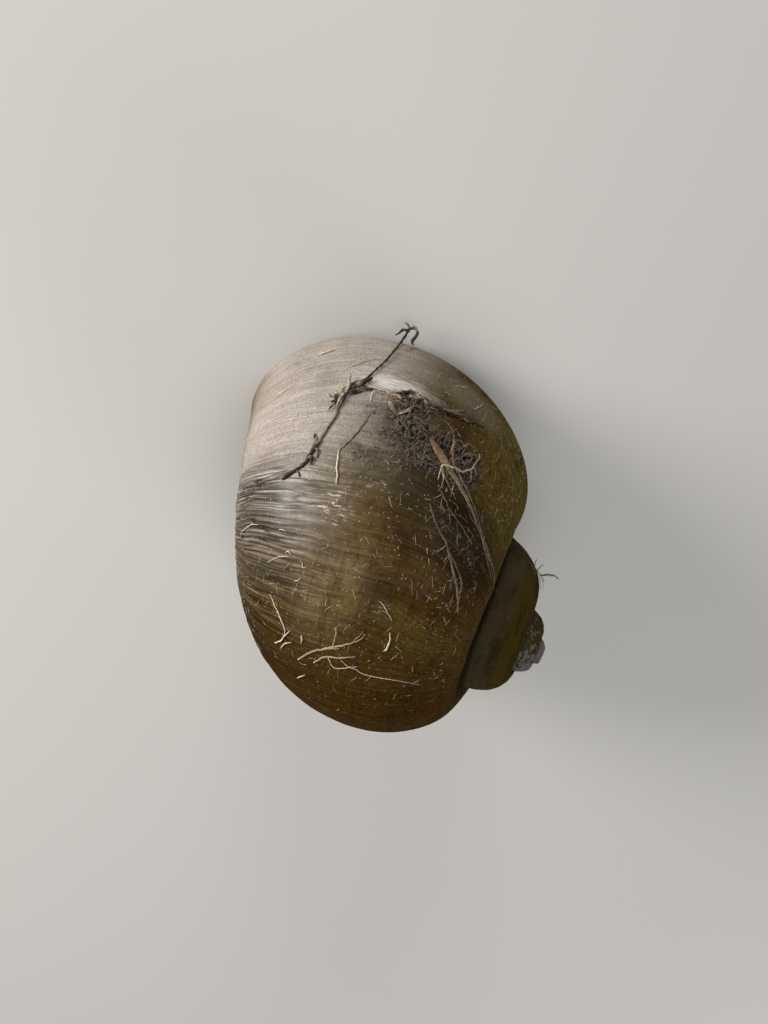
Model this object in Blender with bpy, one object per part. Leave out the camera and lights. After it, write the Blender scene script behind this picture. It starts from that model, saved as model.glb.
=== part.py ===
"""Apple snail drawn into its shell with the horny lid shut: a life-size still model that lies mouth down.

The shell is one tube that widens as it winds round an axis. It is modelled in the shell's own frame, with
the apex at the origin and the axis up, and an empty then lays it on the floor. Metres and radians.
"""
import math

import bmesh
import bpy
import numpy as np
from mathutils import Matrix

# The tube at the mouth of the shell
WHORL_GROWTH = 2.385
MOUTH_HALF_WIDTH = 0.0269
MOUTH_HALF_HEIGHT = 0.0387
MOUTH_FROM_AXIS = 0.0295
MOUTH_BELOW_APEX = 0.0609
SPIRE_DRAW = 0.034
TUBE_TILT = math.radians(1.8)
TUBE_NARROWING = 0.066
LIP_FLARE = 0.023
FLARE_SPAN = 0.25
LEAN_TOP = 0.142
LEAN_OUT = 0.152

# The whorls part just past the inner edge of the mouth, a little earlier on each turn
SPLIT_AHEAD = 0.45
SPLIT_STEP = 0.35
OVERLAP = 0.06
CUTTER_OVERLAP = 0.01
GAP = 0.0003
AXIS_CLEAR = 0.0001
APEX_CUT_SHORT = 0.5
# The worn nose at the apex, as steps of turn before its first ring and how far each reaches to the wall
APEX_NOSE = ((-0.28, 0.82), (-0.48, 0.45))

# Thin outer lip, thick inner lip, and a shallow recess that the lid closes. Sides are columns round a body.
LIP_WALL = 0.0013
LIP_EDGE_WALL = 0.0008
COLUMELLA_WALL = 0.0036
LIP_BAND = 0.075
LIP_TAPER = 0.8
LIP_ENDS = (math.radians(-110), math.radians(100))
RECESS_DEPTH = 0.0056
RECESS_START = -0.0015
RECESS_SIDES = 44
FACE_REACHES = (0.3, 0.65)
MOUTH_STEP = 0.01
AXIS_SHARE = 0.35
LID_DEPTH = 0.0019
LID_THICK = 0.0012
LID_MARGIN = 0.0012
LID_DISH = 0.0008
LID_RIDGE = 0.0002
LID_NUCLEUS = (-0.42, 0.02)
LID_RINGS = 7
LID_SIDES = 38
LID_CROWDING = 0.8
LID_BACK_SHARES = (1.0, 0.75, 0.4, 0.12)
MANTLE_SIDES = 36
CALLUS_THICK = 0.0006
CALLUS_WIDTH = 0.13
CALLUS_ENDS = (math.radians(-72), math.radians(2))
CALLUS_START = -0.03
CALLUS_SLANT = -0.12
CALLUS_COLUMNS = 12
# Across the glaze, share of its width and of its thickness
CALLUS_PROFILE = ((0.0, 0.8), (0.25, 1.0), (0.75, 0.9), (1.0, 0.7))

# How the shell lies: spun on its own axis, dipped, then turned so that the viewer stands at -Y
SPIN = math.radians(89.1)
DIP = math.radians(60.8)
HEADING = math.radians(146.4)
APEX_PLACE = (-0.03196, 0.0336, 0.04455)
FLOOR_BLOCK = 0.2

# Marsh litter that clings to the back. A route is a list of turn and around, in degrees, and lift in metres.
TWIG_RADIUS = 0.00055
TWIG_STOPS = 26
TWIG_ROUTE = (
    (-57, -33, 0), (-54, -27.5, 0), (-49.5, -25, 0), (-46, -23.5, 0), (-39, -21, 0), (-35, -21, 0),
    (-29, -20, 0), (-25, -17, 0), (-15.5, -14, 0), (-10, -13.5, 0), (-3, -13, 0.0008), (1, -12, 0.0022),
)
BLADE_WIDTH = 0.0019
BLADE_THICK = 0.0005
BLADE_STOPS = 18
# The blade's width at its ends, as a share of the widest, and how it bulges between them
BLADE_LEAST = 0.35
BLADE_BULGE_PLACE = 0.6
BLADE_BULGE = 1.2
BLADE_RAISED = 0.15
BLADE_ROUTE = (
    (-38, 15, 0.0006), (-38.7, 22, 0.0002), (-41, 28.5, 0), (-44, 34, 0), (-48, 44, 0), (-52, 54, 0),
    (-53.5, 61.5, 0), (-55, 74, 0),
)
STRAW_RADIUS = 0.00035
STRAW_STOPS = 12
STRAW_ROUTES = {
    "litter_rootlet": ((-51, 29.5, 0), (-57, 35.5, 0), (-63, 41.5, 0), (-72.5, 51.5, 0), (-76, 57.5, 0)),
    "litter_long_straw": ((-109, -6.5, 0), (-104.5, -1.5, 0), (-100.5, 7, 0), (-98, 13, 0), (-94, 19, 0)),
    "litter_short_straw": ((-107.5, 0.5, 0), (-104, 6, 0), (-101.5, 18, 0)),
}

# Plain colours and roughness
FINISHES = {
    "periostracum": ((0.10, 0.085, 0.040), 0.32),
    "old_shell": ((0.13, 0.11, 0.06), 0.42),
    "worn_shell": ((0.30, 0.27, 0.22), 0.75),
    "lip_shell": ((0.16, 0.12, 0.05), 0.30),
    "horn": ((0.10, 0.045, 0.02), 0.45),
    "flesh": ((0.05, 0.04, 0.035), 0.4),
    "callus_shell": ((0.55, 0.47, 0.36), 0.25),
    "bark": ((0.06, 0.045, 0.03), 0.9),
    "straw": ((0.45, 0.36, 0.20), 0.8),
}
SHARP_ANGLE = math.radians(35)

# Whorls from the mouth back to the apex: name, finish, rings along the tube and sides round it
WHORLS = (
    ("shell_body_whorl", "periostracum", 70, 36),
    ("shell_penultimate_whorl", "periostracum", 44, 24),
    ("shell_third_whorl", "old_shell", 32, 18),
    ("shell_apex_whorls", "worn_shell", 26, 12),
)

FULL_TURN = 2 * math.pi
GROWTH_RATE = math.log(WHORL_GROWTH) / FULL_TURN


def shell_point(turn, around, reach=1.0, swell=0.0):
    """A point of the tube. Turn is the growth angle, 0 at the lip and negative towards the apex. Around runs
    round the section from its outermost point over the apex side. Reach goes from the section's centre to its
    wall. Swell moves the wall outwards by a real distance."""
    turn, around = np.broadcast_arrays(np.asarray(turn, float), np.asarray(around, float))
    grown = turn + reach * (LEAN_TOP * np.sin(around) + LEAN_OUT * np.cos(around))
    size = np.exp(GROWTH_RATE * grown)
    flare = 1 + LIP_FLARE * np.exp(np.minimum(turn, 0) / FLARE_SPAN)
    wide = (MOUTH_HALF_WIDTH * flare + swell / size) * np.cos(around)
    high = (MOUTH_HALF_HEIGHT * flare + swell / size) * np.sin(around)
    outward = wide * math.cos(TUBE_TILT) - high * math.sin(TUBE_TILT)
    upward = wide * math.sin(TUBE_TILT) + high * math.cos(TUBE_TILT)
    outward = outward * (1 - TUBE_NARROWING * (upward / MOUTH_HALF_HEIGHT) ** 2)
    radius = np.maximum((MOUTH_FROM_AXIS + reach * outward) * size, AXIS_CLEAR)
    drop = MOUTH_BELOW_APEX * np.exp(SPIRE_DRAW * GROWTH_RATE * grown) - reach * upward
    return np.stack([radius * np.cos(grown), -radius * np.sin(grown), -drop * size], axis=-1)


def mouth_point(around, reach=1.0, depth=0.0, swell=0.0):
    """A point on the mouth's own surface, moved into the shell by a real depth along the tube."""
    here = shell_point(0.0, around, reach, swell)
    along = here - shell_point(-MOUTH_STEP, around, reach, swell)
    along = along + AXIS_SHARE * (shell_point(0.0, 0.0, 0.0) - shell_point(-MOUTH_STEP, 0.0, 0.0))
    along = along / np.linalg.norm(along, axis=-1, keepdims=True)
    return here - along * np.broadcast_to(depth, here.shape[:-1])[..., None]


def ring_angles(sides):
    return np.arange(sides) * FULL_TURN / sides


def loft(name, rings, start, end):
    """A closed body through rings of equal count, with a fan of faces to a middle point at each end."""
    rings = np.asarray(rings)
    count, sides = rings.shape[:2]
    points = np.concatenate([rings.reshape(-1, 3), [start, end]])
    faces = []
    for i in range(count - 1):
        for j in range(sides):
            k = (j + 1) % sides
            faces.append((i * sides + j, i * sides + k, (i + 1) * sides + k, (i + 1) * sides + j))
    last = (count - 1) * sides
    for j in range(sides):
        k = (j + 1) % sides
        faces.append((k, j, count * sides))
        faces.append((last + j, last + k, count * sides + 1))
    mesh = bpy.data.meshes.new(name)
    mesh.from_pydata(points.tolist(), [], faces)
    shape = bmesh.new()
    shape.from_mesh(mesh)
    bmesh.ops.recalc_face_normals(shape, faces=shape.faces)
    shape.to_mesh(mesh)
    shape.free()
    return mesh


def node(name, mesh, collection, parent, material):
    """An object for one piece, laid down with the rest by its parent."""
    piece = bpy.data.objects.new(name, mesh)
    collection.objects.link(piece)
    piece.parent = parent
    if material:
        mesh.materials.clear()
        mesh.materials.append(material)
    return piece


def cutter(name, mesh, collection, parent):
    """A body that only cuts others."""
    piece = node(name, mesh, collection, parent, None)
    piece.hide_render = True
    piece.display_type = "WIRE"
    return piece


def cut(piece, *cutters, solver="EXACT"):
    """Cuts a piece, applies the cuts and keeps its largest closed surface."""
    for tool in cutters:
        modifier = piece.modifiers.new(tool.name, "BOOLEAN")
        modifier.operation = "DIFFERENCE"
        modifier.solver = solver
        modifier.object = tool
    bpy.context.view_layer.update()
    evaluated = piece.evaluated_get(bpy.context.evaluated_depsgraph_get())
    mesh = bpy.data.meshes.new_from_object(evaluated)
    piece.modifiers.clear()
    piece.data = mesh
    shape = bmesh.new()
    shape.from_mesh(mesh)
    groups = []
    waiting = set(shape.faces)
    while waiting:
        group = {waiting.pop()}
        edge_of_group = list(group)
        while edge_of_group:
            face = edge_of_group.pop()
            for edge in face.edges:
                for other in edge.link_faces:
                    if other in waiting:
                        waiting.remove(other)
                        group.add(other)
                        edge_of_group.append(other)
        groups.append(group)
    largest = max(groups, key=lambda group: sum(face.calc_area() for face in group))
    scraps = [face for group in groups if group is not largest for face in group]
    bmesh.ops.delete(shape, geom=scraps, context="FACES")
    shape.to_mesh(mesh)
    shape.free()


def finish(name, colour, roughness):
    material = bpy.data.materials.new(name)
    material.use_nodes = True
    shader = material.node_tree.nodes["Principled BSDF"]
    shader.inputs["Base Color"].default_value = (*colour, 1.0)
    shader.inputs["Roughness"].default_value = roughness
    shader.inputs["Metallic"].default_value = 0.0
    return material


def whorl(name, turn_from, turn_to, rings, sides, nose=()):
    """One length of the tube. The far end may lie at a different turn all round, and the near end may be
    closed by a worn nose, given as pairs of turn and reach."""
    around = ring_angles(sides)
    turn_to = np.broadcast_to(turn_to, around.shape)
    steps = np.linspace(0, 1, rings)[:, None]
    sections = list(shell_point(turn_from + (turn_to - turn_from) * steps, around[None, :]))
    for turn, reach in nose:
        sections.insert(0, shell_point(turn_from + turn, around, reach))
    first_turn = turn_from + (nose[-1][0] if nose else 0.0)
    return loft(name, sections, shell_point(first_turn, 0.0, 0.0), shell_point(turn_to.mean(), 0.0, 0.0))


def whorl_cutter(name, turn_from, turn_to, rings, sides):
    """The room that a whorl takes up, with the gap all round it and past its end."""
    around = ring_angles(sides)
    turns = np.linspace(turn_from, turn_to, rings)
    sections = shell_point(turns[:, None], around[None, :], 1.0, GAP)
    ahead = shell_point(turn_to, 0.0, 0.0) - shell_point(turn_to - OVERLAP, 0.0, 0.0)
    ahead = ahead / np.linalg.norm(ahead) * GAP
    sections = np.concatenate([sections, sections[-1:] + ahead])
    return loft(name, sections, shell_point(turn_from, 0.0, 0.0), shell_point(turn_to, 0.0, 0.0) + ahead)


def lip_width(around):
    """How far the newest growth reaches back from the mouth's edge, as a crescent between its two ends."""
    centre = sum(LIP_ENDS) / 2
    half = (LIP_ENDS[1] - LIP_ENDS[0]) / 2
    across = ((around - centre + math.pi) % FULL_TURN - math.pi) / half
    band = LIP_BAND * (1 - LIP_TAPER * np.minimum(np.abs(across), 1) ** 4)
    return np.where(np.abs(across) <= 1, band, 0.0)


def outer_lip(name, sides):
    """The newest growth: a thin band along the outer side of the mouth, in the columns of the body whorl."""
    columns = 1 + round((LIP_ENDS[1] - LIP_ENDS[0]) * sides / FULL_TURN)
    around = np.linspace(*LIP_ENDS, columns)
    back = -lip_width(around)
    walls = ((back, LIP_WALL), (back / 2, LIP_WALL), (back * 0, LIP_EDGE_WALL))
    outside = [shell_point(turn, around) for turn, wall in walls]
    inside = [shell_point(turn, around, 1.0, -wall) for turn, wall in reversed(walls)]
    sections = np.stack(outside + inside, axis=1)
    return loft(name, sections, sections[0].mean(axis=0), sections[-1].mean(axis=0))


def inner_wall(around):
    """The wall's thickness round the mouth: thin outside, thick along the columella."""
    inner_side = np.clip(0.5 - 0.5 * np.cos(around), 0, 1) ** 2
    return LIP_WALL + (COLUMELLA_WALL - LIP_WALL) * inner_side


def mouth_slab(name, depths, margin, sides):
    """A closed body between the mouth's walls, through rings at the given depths."""
    around = ring_angles(sides)
    inset = -inner_wall(around) - margin
    stops = [(reach, depths[0]) for reach in FACE_REACHES]
    stops += [(1.0, depth) for depth in depths]
    stops += [(reach, depths[-1]) for reach in reversed(FACE_REACHES)]
    sections = [mouth_point(around, reach, depth, inset) for reach, depth in stops]
    return loft(name, sections, mouth_point(0.0, 0.0, depths[0]), mouth_point(0.0, 0.0, depths[-1]))


def lid_point(around, share, depth):
    """A point of the lid: share 0 is its nucleus near the inner lip and 1 is its rim."""
    east = LID_NUCLEUS[0] + share * (np.cos(around) - LID_NUCLEUS[0])
    north = LID_NUCLEUS[1] + share * (np.sin(around) - LID_NUCLEUS[1])
    direction = np.arctan2(north, east)
    margin = -(inner_wall(around) + LID_MARGIN) * share
    return mouth_point(direction, np.hypot(east, north), depth, margin)


def lid(name):
    """The horny lid: a thin dished plate with a raised ring for each season of growth."""
    around = ring_angles(LID_SIDES)
    sections = []
    ring_count = LID_RINGS * 2
    for i in range(1, ring_count + 1):
        share = (i / ring_count) ** LID_CROWDING
        ridge = LID_RIDGE * (i % 2)
        sections.append(lid_point(around, share, LID_DEPTH + LID_DISH * (1 - share ** 2) - ridge))
    for share in LID_BACK_SHARES:
        sections.append(lid_point(around, share, LID_DEPTH + LID_DISH * (1 - share ** 2) + LID_THICK))
    front = lid_point(0.0, 0.0, LID_DEPTH + LID_DISH)
    return loft(name, sections, front, lid_point(0.0, 0.0, LID_DEPTH + LID_DISH + LID_THICK))


def callus(name):
    """The glaze that the mantle lays on the whorl before, along the inner side of the mouth."""
    around = np.linspace(*CALLUS_ENDS, CALLUS_COLUMNS)
    start = CALLUS_START + CALLUS_SLANT * around - FULL_TURN
    across, thick = np.array(CALLUS_PROFILE).T
    height = GAP + CALLUS_THICK * thick
    turns = start[:, None] + CALLUS_WIDTH * across
    top = shell_point(turns, around[:, None], 1.0, height)
    bottom = shell_point(turns[:, ::-1], around[:, None], 1.0, GAP)
    sections = np.concatenate([top, bottom], axis=1)
    return loft(name, sections, sections[0].mean(axis=0), sections[-1].mean(axis=0))


def along_route(route, count):
    """Turn, around and lift at even steps of a smooth curve through a route's own points."""
    stops = np.array(route, float)
    stops[:, :2] = np.radians(stops[:, :2])
    ends = (2 * stops[:1] - stops[1:2], 2 * stops[-1:] - stops[-2:-1])
    stops = np.concatenate([ends[0], stops, ends[1]])
    share = np.linspace(0, len(route) - 1.0001, count)
    leg = share.astype(int)
    step = (share - leg)[:, None]
    before, here, after, beyond = (stops[leg + i] for i in range(4))
    bend = 2 * before - 5 * here + 4 * after - beyond
    twist = 3 * here - before - 3 * after + beyond
    return here + 0.5 * step * (after - before + step * (bend + step * twist))


def stalk(name, route, radius, count, collection, parent, material):
    """A thin round stalk that lies along the shell."""
    turn, around, lift = along_route(route, count).T
    points = shell_point(turn, around, 1.0, lift + radius + GAP)
    curve = bpy.data.curves.new(name, "CURVE")
    curve.dimensions = "3D"
    spline = curve.splines.new("POLY")
    spline.points.add(count - 1)
    for point, place in zip(spline.points, points):
        point.co = (*place, 1.0)
    curve.bevel_depth = radius
    curve.bevel_resolution = 1
    curve.use_fill_caps = True
    curve.materials.append(material)
    piece = bpy.data.objects.new(name, curve)
    collection.objects.link(piece)
    piece.parent = parent


def blade(name, route, width, thick, count):
    """A flat dry blade of grass, widest a third of the way down."""
    places = along_route(route, count)
    turn, around, lift = places.T
    middle = shell_point(turn, around, 1.0, lift + GAP)
    up = shell_point(turn, around, 1.0, lift + GAP + thick) - middle
    along = np.gradient(middle, axis=0)
    side = np.cross(along, up)
    side = side / np.linalg.norm(side, axis=1)[:, None]
    share = np.linspace(0, 1, count)
    bulge = np.sin(math.pi * share ** BLADE_BULGE_PLACE) ** BLADE_BULGE
    half = 0.5 * width * (BLADE_LEAST + (1 - BLADE_LEAST) * bulge)
    half = side * half[:, None]
    raised = middle + up * BLADE_RAISED
    corners = [raised - half, raised + half, raised + half + up, raised - half + up]
    sections = np.stack(corners, axis=1)
    return loft(name, sections, sections[0].mean(axis=0), sections[-1].mean(axis=0))


for old in list(bpy.data.objects):
    bpy.data.objects.remove(old)

snail = bpy.data.collections.new("apple_snail")
tools = bpy.data.collections.new("apple_snail_cutters")
for group in (snail, tools):
    bpy.context.scene.collection.children.link(group)

rest = bpy.data.objects.new("lying_mouth_down", None)
snail.objects.link(rest)
lay = Matrix.Rotation(HEADING, 4, "Z") @ Matrix.Rotation(DIP, 4, "Y") @ Matrix.Rotation(SPIN, 4, "Z")
rest.matrix_world = Matrix.Translation(APEX_PLACE) @ lay

finishes = {name: finish(name, *values) for name, values in FINISHES.items()}

# The whorls part at these turns, and each is cut clear of the one before it
splits = [0.0] + [SPLIT_AHEAD + SPLIT_STEP * i - FULL_TURN * (i + 1) for i in range(len(WHORLS))]
body_sides = WHORLS[0][3]
rim = -lip_width(ring_angles(body_sides))
rim = np.where(rim < 0, rim - GAP / MOUTH_FROM_AXIS, 0.0)
shell = []
for i, (name, material, rings, sides) in enumerate(WHORLS):
    apex = i == len(WHORLS) - 1
    start = splits[i + 1] + (APEX_CUT_SHORT if apex else -OVERLAP)
    mesh = whorl(name, start, rim if i == 0 else splits[i], rings, sides, APEX_NOSE if apex else ())
    shell.append(node(name, mesh, snail, rest, finishes[material]))
room = []
for i, (name, material, rings, sides) in enumerate(WHORLS[1:], start=1):
    mesh = whorl_cutter(name, splits[i + 1] - CUTTER_OVERLAP, splits[i], rings, sides)
    room.append(cutter(f"room_{name}", mesh, tools, rest))

recess_depths = (RECESS_START, 0.0, RECESS_DEPTH / 2, RECESS_DEPTH)
recess = cutter("recess", mouth_slab("recess", recess_depths, 0.0, RECESS_SIDES), tools, rest)
bpy.ops.mesh.primitive_cube_add(size=FLOOR_BLOCK, location=(0.0, 0.0, -FLOOR_BLOCK / 2))
floor = bpy.context.object
floor.name = "floor"
for owner in list(floor.users_collection):
    owner.objects.unlink(floor)
tools.objects.link(floor)
floor.hide_render = True
floor.display_type = "WIRE"

lip = node("shell_outer_lip", outer_lip("outer_lip", body_sides), snail, rest, finishes["lip_shell"])
cut(shell[0], room[0], room[1], recess, floor)
cut(shell[1], room[1], room[2], solver="MANIFOLD")
cut(shell[2], room[2], solver="MANIFOLD")
cut(lip, floor)
node("shell_parietal_callus", callus("parietal_callus"), snail, rest, finishes["callus_shell"])

operculum = node("operculum", lid("operculum"), snail, rest, finishes["horn"])
cut(operculum, room[0])
mantle_depths = (LID_DEPTH + LID_DISH + LID_THICK + GAP, RECESS_DEPTH - GAP)
mantle_slab = mouth_slab("mantle", mantle_depths, GAP, MANTLE_SIDES)
mantle = node("mantle_edge", mantle_slab, snail, rest, finishes["flesh"])
cut(mantle, room[0])

stalk("litter_twig", TWIG_ROUTE, TWIG_RADIUS, TWIG_STOPS, snail, rest, finishes["bark"])
for name, route in STRAW_ROUTES.items():
    stalk(name, route, STRAW_RADIUS, STRAW_STOPS, snail, rest, finishes["straw"])
grass = blade("grass_blade", BLADE_ROUTE, BLADE_WIDTH, BLADE_THICK, BLADE_STOPS)
node("litter_grass_blade", grass, snail, rest, finishes["straw"])

for piece in snail.objects:
    if piece.type == "MESH":
        piece.data.shade_smooth()
        piece.data.set_sharp_from_angle(angle=SHARP_ANGLE)
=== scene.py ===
import math

import bpy
from mathutils import Matrix, Vector


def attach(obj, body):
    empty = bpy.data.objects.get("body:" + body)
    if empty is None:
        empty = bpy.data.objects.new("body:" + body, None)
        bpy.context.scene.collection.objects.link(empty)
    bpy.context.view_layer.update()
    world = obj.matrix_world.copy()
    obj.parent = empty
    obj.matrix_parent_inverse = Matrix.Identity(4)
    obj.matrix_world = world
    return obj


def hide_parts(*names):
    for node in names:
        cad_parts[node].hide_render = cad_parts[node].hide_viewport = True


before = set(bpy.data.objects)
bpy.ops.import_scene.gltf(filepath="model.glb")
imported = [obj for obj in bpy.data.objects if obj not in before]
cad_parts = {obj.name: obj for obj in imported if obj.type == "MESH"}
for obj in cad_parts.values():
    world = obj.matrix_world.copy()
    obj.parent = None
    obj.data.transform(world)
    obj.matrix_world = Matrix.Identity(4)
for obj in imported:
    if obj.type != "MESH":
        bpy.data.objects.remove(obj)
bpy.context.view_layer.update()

# The shell is one tube of lime under a horny skin, the periostracum. The snail lays it down at the lip, ring
# after ring, while it winds round an axis, so each fine line across a whorl is an old lip. The mesh follows the
# same rule, as a grid of growth angle by angle round the tube, and is then laid on its mouth.

TURN = 2 * math.pi
TUBE = {
    "Whorl growth": 2.385,
    "Mouth half width": 0.0269,
    "Mouth half height": 0.0387,
    "Mouth from axis": 0.0295,
    "Mouth below apex": 0.0609,
    "Spire draw": 0.034,
    "Tube tilt": math.radians(1.8),
    "Tube narrowing": 0.066,
    "Lip flare": 0.023,
    "Flare span": 0.25,
    "Lean top": 0.142,
    "Lean out": 0.152,
}
SPIN = math.radians(89.1)
DIP = math.radians(60.8)
HEADING = math.radians(146.4)
APEX_PLACE = (-0.03196, 0.0336, 0.04455)
LAY_DOWN = (
    Matrix.Translation(APEX_PLACE)
    @ Matrix.Rotation(HEADING, 4, "Z")
    @ Matrix.Rotation(DIP, 4, "Y")
    @ Matrix.Rotation(SPIN, 4, "Z")
)


class Socket:
    """One output of a node. A sum on it reads as a plain sum and adds its own Math or Vector Math nodes."""

    def __init__(self, tree, socket):
        self.tree = tree
        self.socket = socket

    def maths(self, operation, *values):
        vectors = any(isinstance(value, Socket) and value.socket.type == "VECTOR" for value in values)
        kind = "ShaderNodeVectorMath" if vectors else "ShaderNodeMath"
        if vectors:
            values = [value if isinstance(value, Socket) else (value,) * 3 for value in values]
        return add_node(self.tree, kind, {"operation": operation}, dict(enumerate(values)))

    def __add__(self, other):
        return self.maths("ADD", self, other)

    def __sub__(self, other):
        return self.maths("SUBTRACT", self, other)

    def __rsub__(self, other):
        return self.maths("SUBTRACT", other, self)

    def __mul__(self, other):
        return self.maths("MULTIPLY", self, other)

    def __truediv__(self, other):
        return self.maths("DIVIDE", self, other)

    def __rtruediv__(self, other):
        return self.maths("DIVIDE", other, self)

    def __pow__(self, other):
        return self.maths("POWER", self, other)

    def __neg__(self):
        return self.maths("MULTIPLY", self, -1.0)

    __radd__ = __add__
    __rmul__ = __mul__

    def sin(self):
        return self.maths("SINE", self)

    def cos(self):
        return self.maths("COSINE", self)

    def exp(self):
        return self.maths("EXPONENT", self)

    def sqrt(self):
        return self.maths("SQRT", self)

    def log(self):
        return self.maths("LOGARITHM", self, math.e)

    def size(self):
        return self.maths("ABSOLUTE", self)

    def least(self, other):
        return self.maths("MINIMUM", self, other)

    def most(self, other):
        return self.maths("MAXIMUM", self, other)

    def unit(self):
        return self.maths("NORMALIZE", self)

    def ramp(self, low, high):
        """0 below low and 1 above high, with a soft bend at each; low may also be the higher of the two."""
        sockets = {"Value": self, "From Min": low, "From Max": high}
        return add_node(self.tree, "ShaderNodeMapRange", {"interpolation_type": "SMOOTHSTEP"}, sockets)

    def share(self, low, high):
        """0 below low and 1 above high, straight between them."""
        return add_node(self.tree, "ShaderNodeMapRange", {}, {"Value": self, "From Min": low, "From Max": high})

    def other(self, name):
        """Another output of the same node."""
        return Socket(self.tree, self.socket.node.outputs[name])


def add_node(tree, kind, settings, sockets):
    """Adds a node, makes its settings first and then its sockets, and gives back its first output in use."""
    made = tree.nodes.new(kind)
    for name, setting in settings.items():
        if name == "stops":
            while len(made.color_ramp.elements) > 1:
                made.color_ramp.elements.remove(made.color_ramp.elements[-1])
            for at, colour in setting:
                stop = made.color_ramp.elements.new(at)
                stop.color = (*colour, 1.0)
            made.color_ramp.elements.remove(made.color_ramp.elements[0])
        else:
            setattr(made, name, setting)
    for key, value in sockets.items():
        named = [socket for socket in made.inputs if socket.enabled and socket.name == key]
        socket = named[0] if named else made.inputs[key]
        if isinstance(value, Socket):
            tree.links.new(value.socket, socket)
        else:
            socket.default_value = value
    return Socket(tree, next(output for output in made.outputs if output.enabled))


def place(x, y, z):
    tree = next(value.tree for value in (x, y, z) if isinstance(value, Socket))
    return add_node(tree, "ShaderNodeCombineXYZ", {}, {"X": x, "Y": y, "Z": z})


def noise(where, scale=1.0, detail=2.0, roughness=0.5):
    """Even noise from 0 to 1 at a place, which may be stretched to draw it out into lines."""
    sockets = {"Vector": where, "Scale": scale, "Detail": detail, "Roughness": roughness}
    return add_node(where.tree, "ShaderNodeTexNoise", {}, sockets)


class Recipe:
    """A Geometry Nodes tree with named inputs that makes pieces in the shell's own frame, apex at the origin."""

    def __init__(self, name, sizes):
        self.tree = bpy.data.node_groups.new(name, "GeometryNodeTree")
        for direction in ("INPUT", "OUTPUT"):
            self.tree.interface.new_socket("Geometry", in_out=direction, socket_type="NodeSocketGeometry")
        self.given = self.tree.nodes.new("NodeGroupInput")
        self.identifiers = {}
        self.values = sizes
        self.sizes = {}
        for label, value in sizes.items():
            self.sizes[label] = self.ask(label, "NodeSocketInt" if isinstance(value, int) else "NodeSocketFloat")
        self.geometry = Socket(self.tree, self.given.outputs["Geometry"])

    def ask(self, label, kind):
        socket = self.tree.interface.new_socket(label, in_out="INPUT", socket_type=kind)
        self.identifiers[label] = socket.identifier
        return Socket(self.tree, self.given.outputs[label])

    def node(self, kind, settings=None, sockets=None):
        return add_node(self.tree, kind, settings or {}, sockets or {})

    def keep(self, geometry, name, value):
        """Stores a value on the points under a name that the materials can read."""
        return self.node("GeometryNodeStoreNamedAttribute", {}, {"Geometry": geometry, "Name": name, "Value": value})

    def grid(self, rows, sides):
        """A sheet of points with its share along the rows, from 0 to 1, and its angle round the sides."""
        sockets = {"Vertices X": rows, "Vertices Y": sides + 1, "Size X": 1.0, "Size Y": 1.0}
        made = self.node("GeometryNodeMeshGrid", {}, sockets)
        split = self.node("ShaderNodeSeparateXYZ", {}, {"Vector": made.other("UV Map")})
        return made, split, (split.other("Y") - 0.5) * TURN

    def close(self, geometry):
        """Joins the points that meet, so that no seam or pole stays open."""
        merged = self.node("GeometryNodeMergeByDistance", {}, {"Geometry": geometry, "Distance": 0.000005})
        return self.node("GeometryNodeSetShadeSmooth", {}, {"Geometry": merged, "Shade Smooth": True})

    def moved(self, geometry, position):
        return self.node("GeometryNodeSetPosition", {}, {"Geometry": geometry, "Position": position})

    def end(self, geometry):
        """Closes the tree with its material, and gives it back."""
        whole = self.node("GeometryNodeRealizeInstances", {}, {"Geometry": geometry})
        material = self.ask("Material", "NodeSocketMaterial")
        finished = self.node("GeometryNodeSetMaterial", {}, {"Geometry": whole, "Material": material})
        output = self.tree.nodes.new("NodeGroupOutput")
        self.tree.links.new(finished.socket, output.inputs["Geometry"])
        return self

    def bake(self, name, material, sizes=None, onto=None):
        """Runs the tree on a scratch object and keeps the result as a plain mesh that lies on the floor."""
        scratch = bpy.data.objects.new(name + "_scratch", onto or bpy.data.meshes.new(name))
        bpy.context.scene.collection.objects.link(scratch)
        modifier = scratch.modifiers.new(name, "NODES")
        modifier.node_group = self.tree
        for label, value in {**self.values, **(sizes or {}), "Material": material}.items():
            modifier[self.identifiers[label]] = value
        graph = bpy.context.evaluated_depsgraph_get()
        mesh = bpy.data.meshes.new_from_object(scratch.evaluated_get(graph), depsgraph=graph)
        bpy.data.objects.remove(scratch)
        mesh.name = name
        mesh.transform(LAY_DOWN)
        for vertex in mesh.vertices:
            vertex.co.z = max(vertex.co.z, 0.0)
        piece = bpy.data.objects.new(name, mesh)
        bpy.context.scene.collection.objects.link(piece)
        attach(piece, "root")
        return piece


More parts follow.
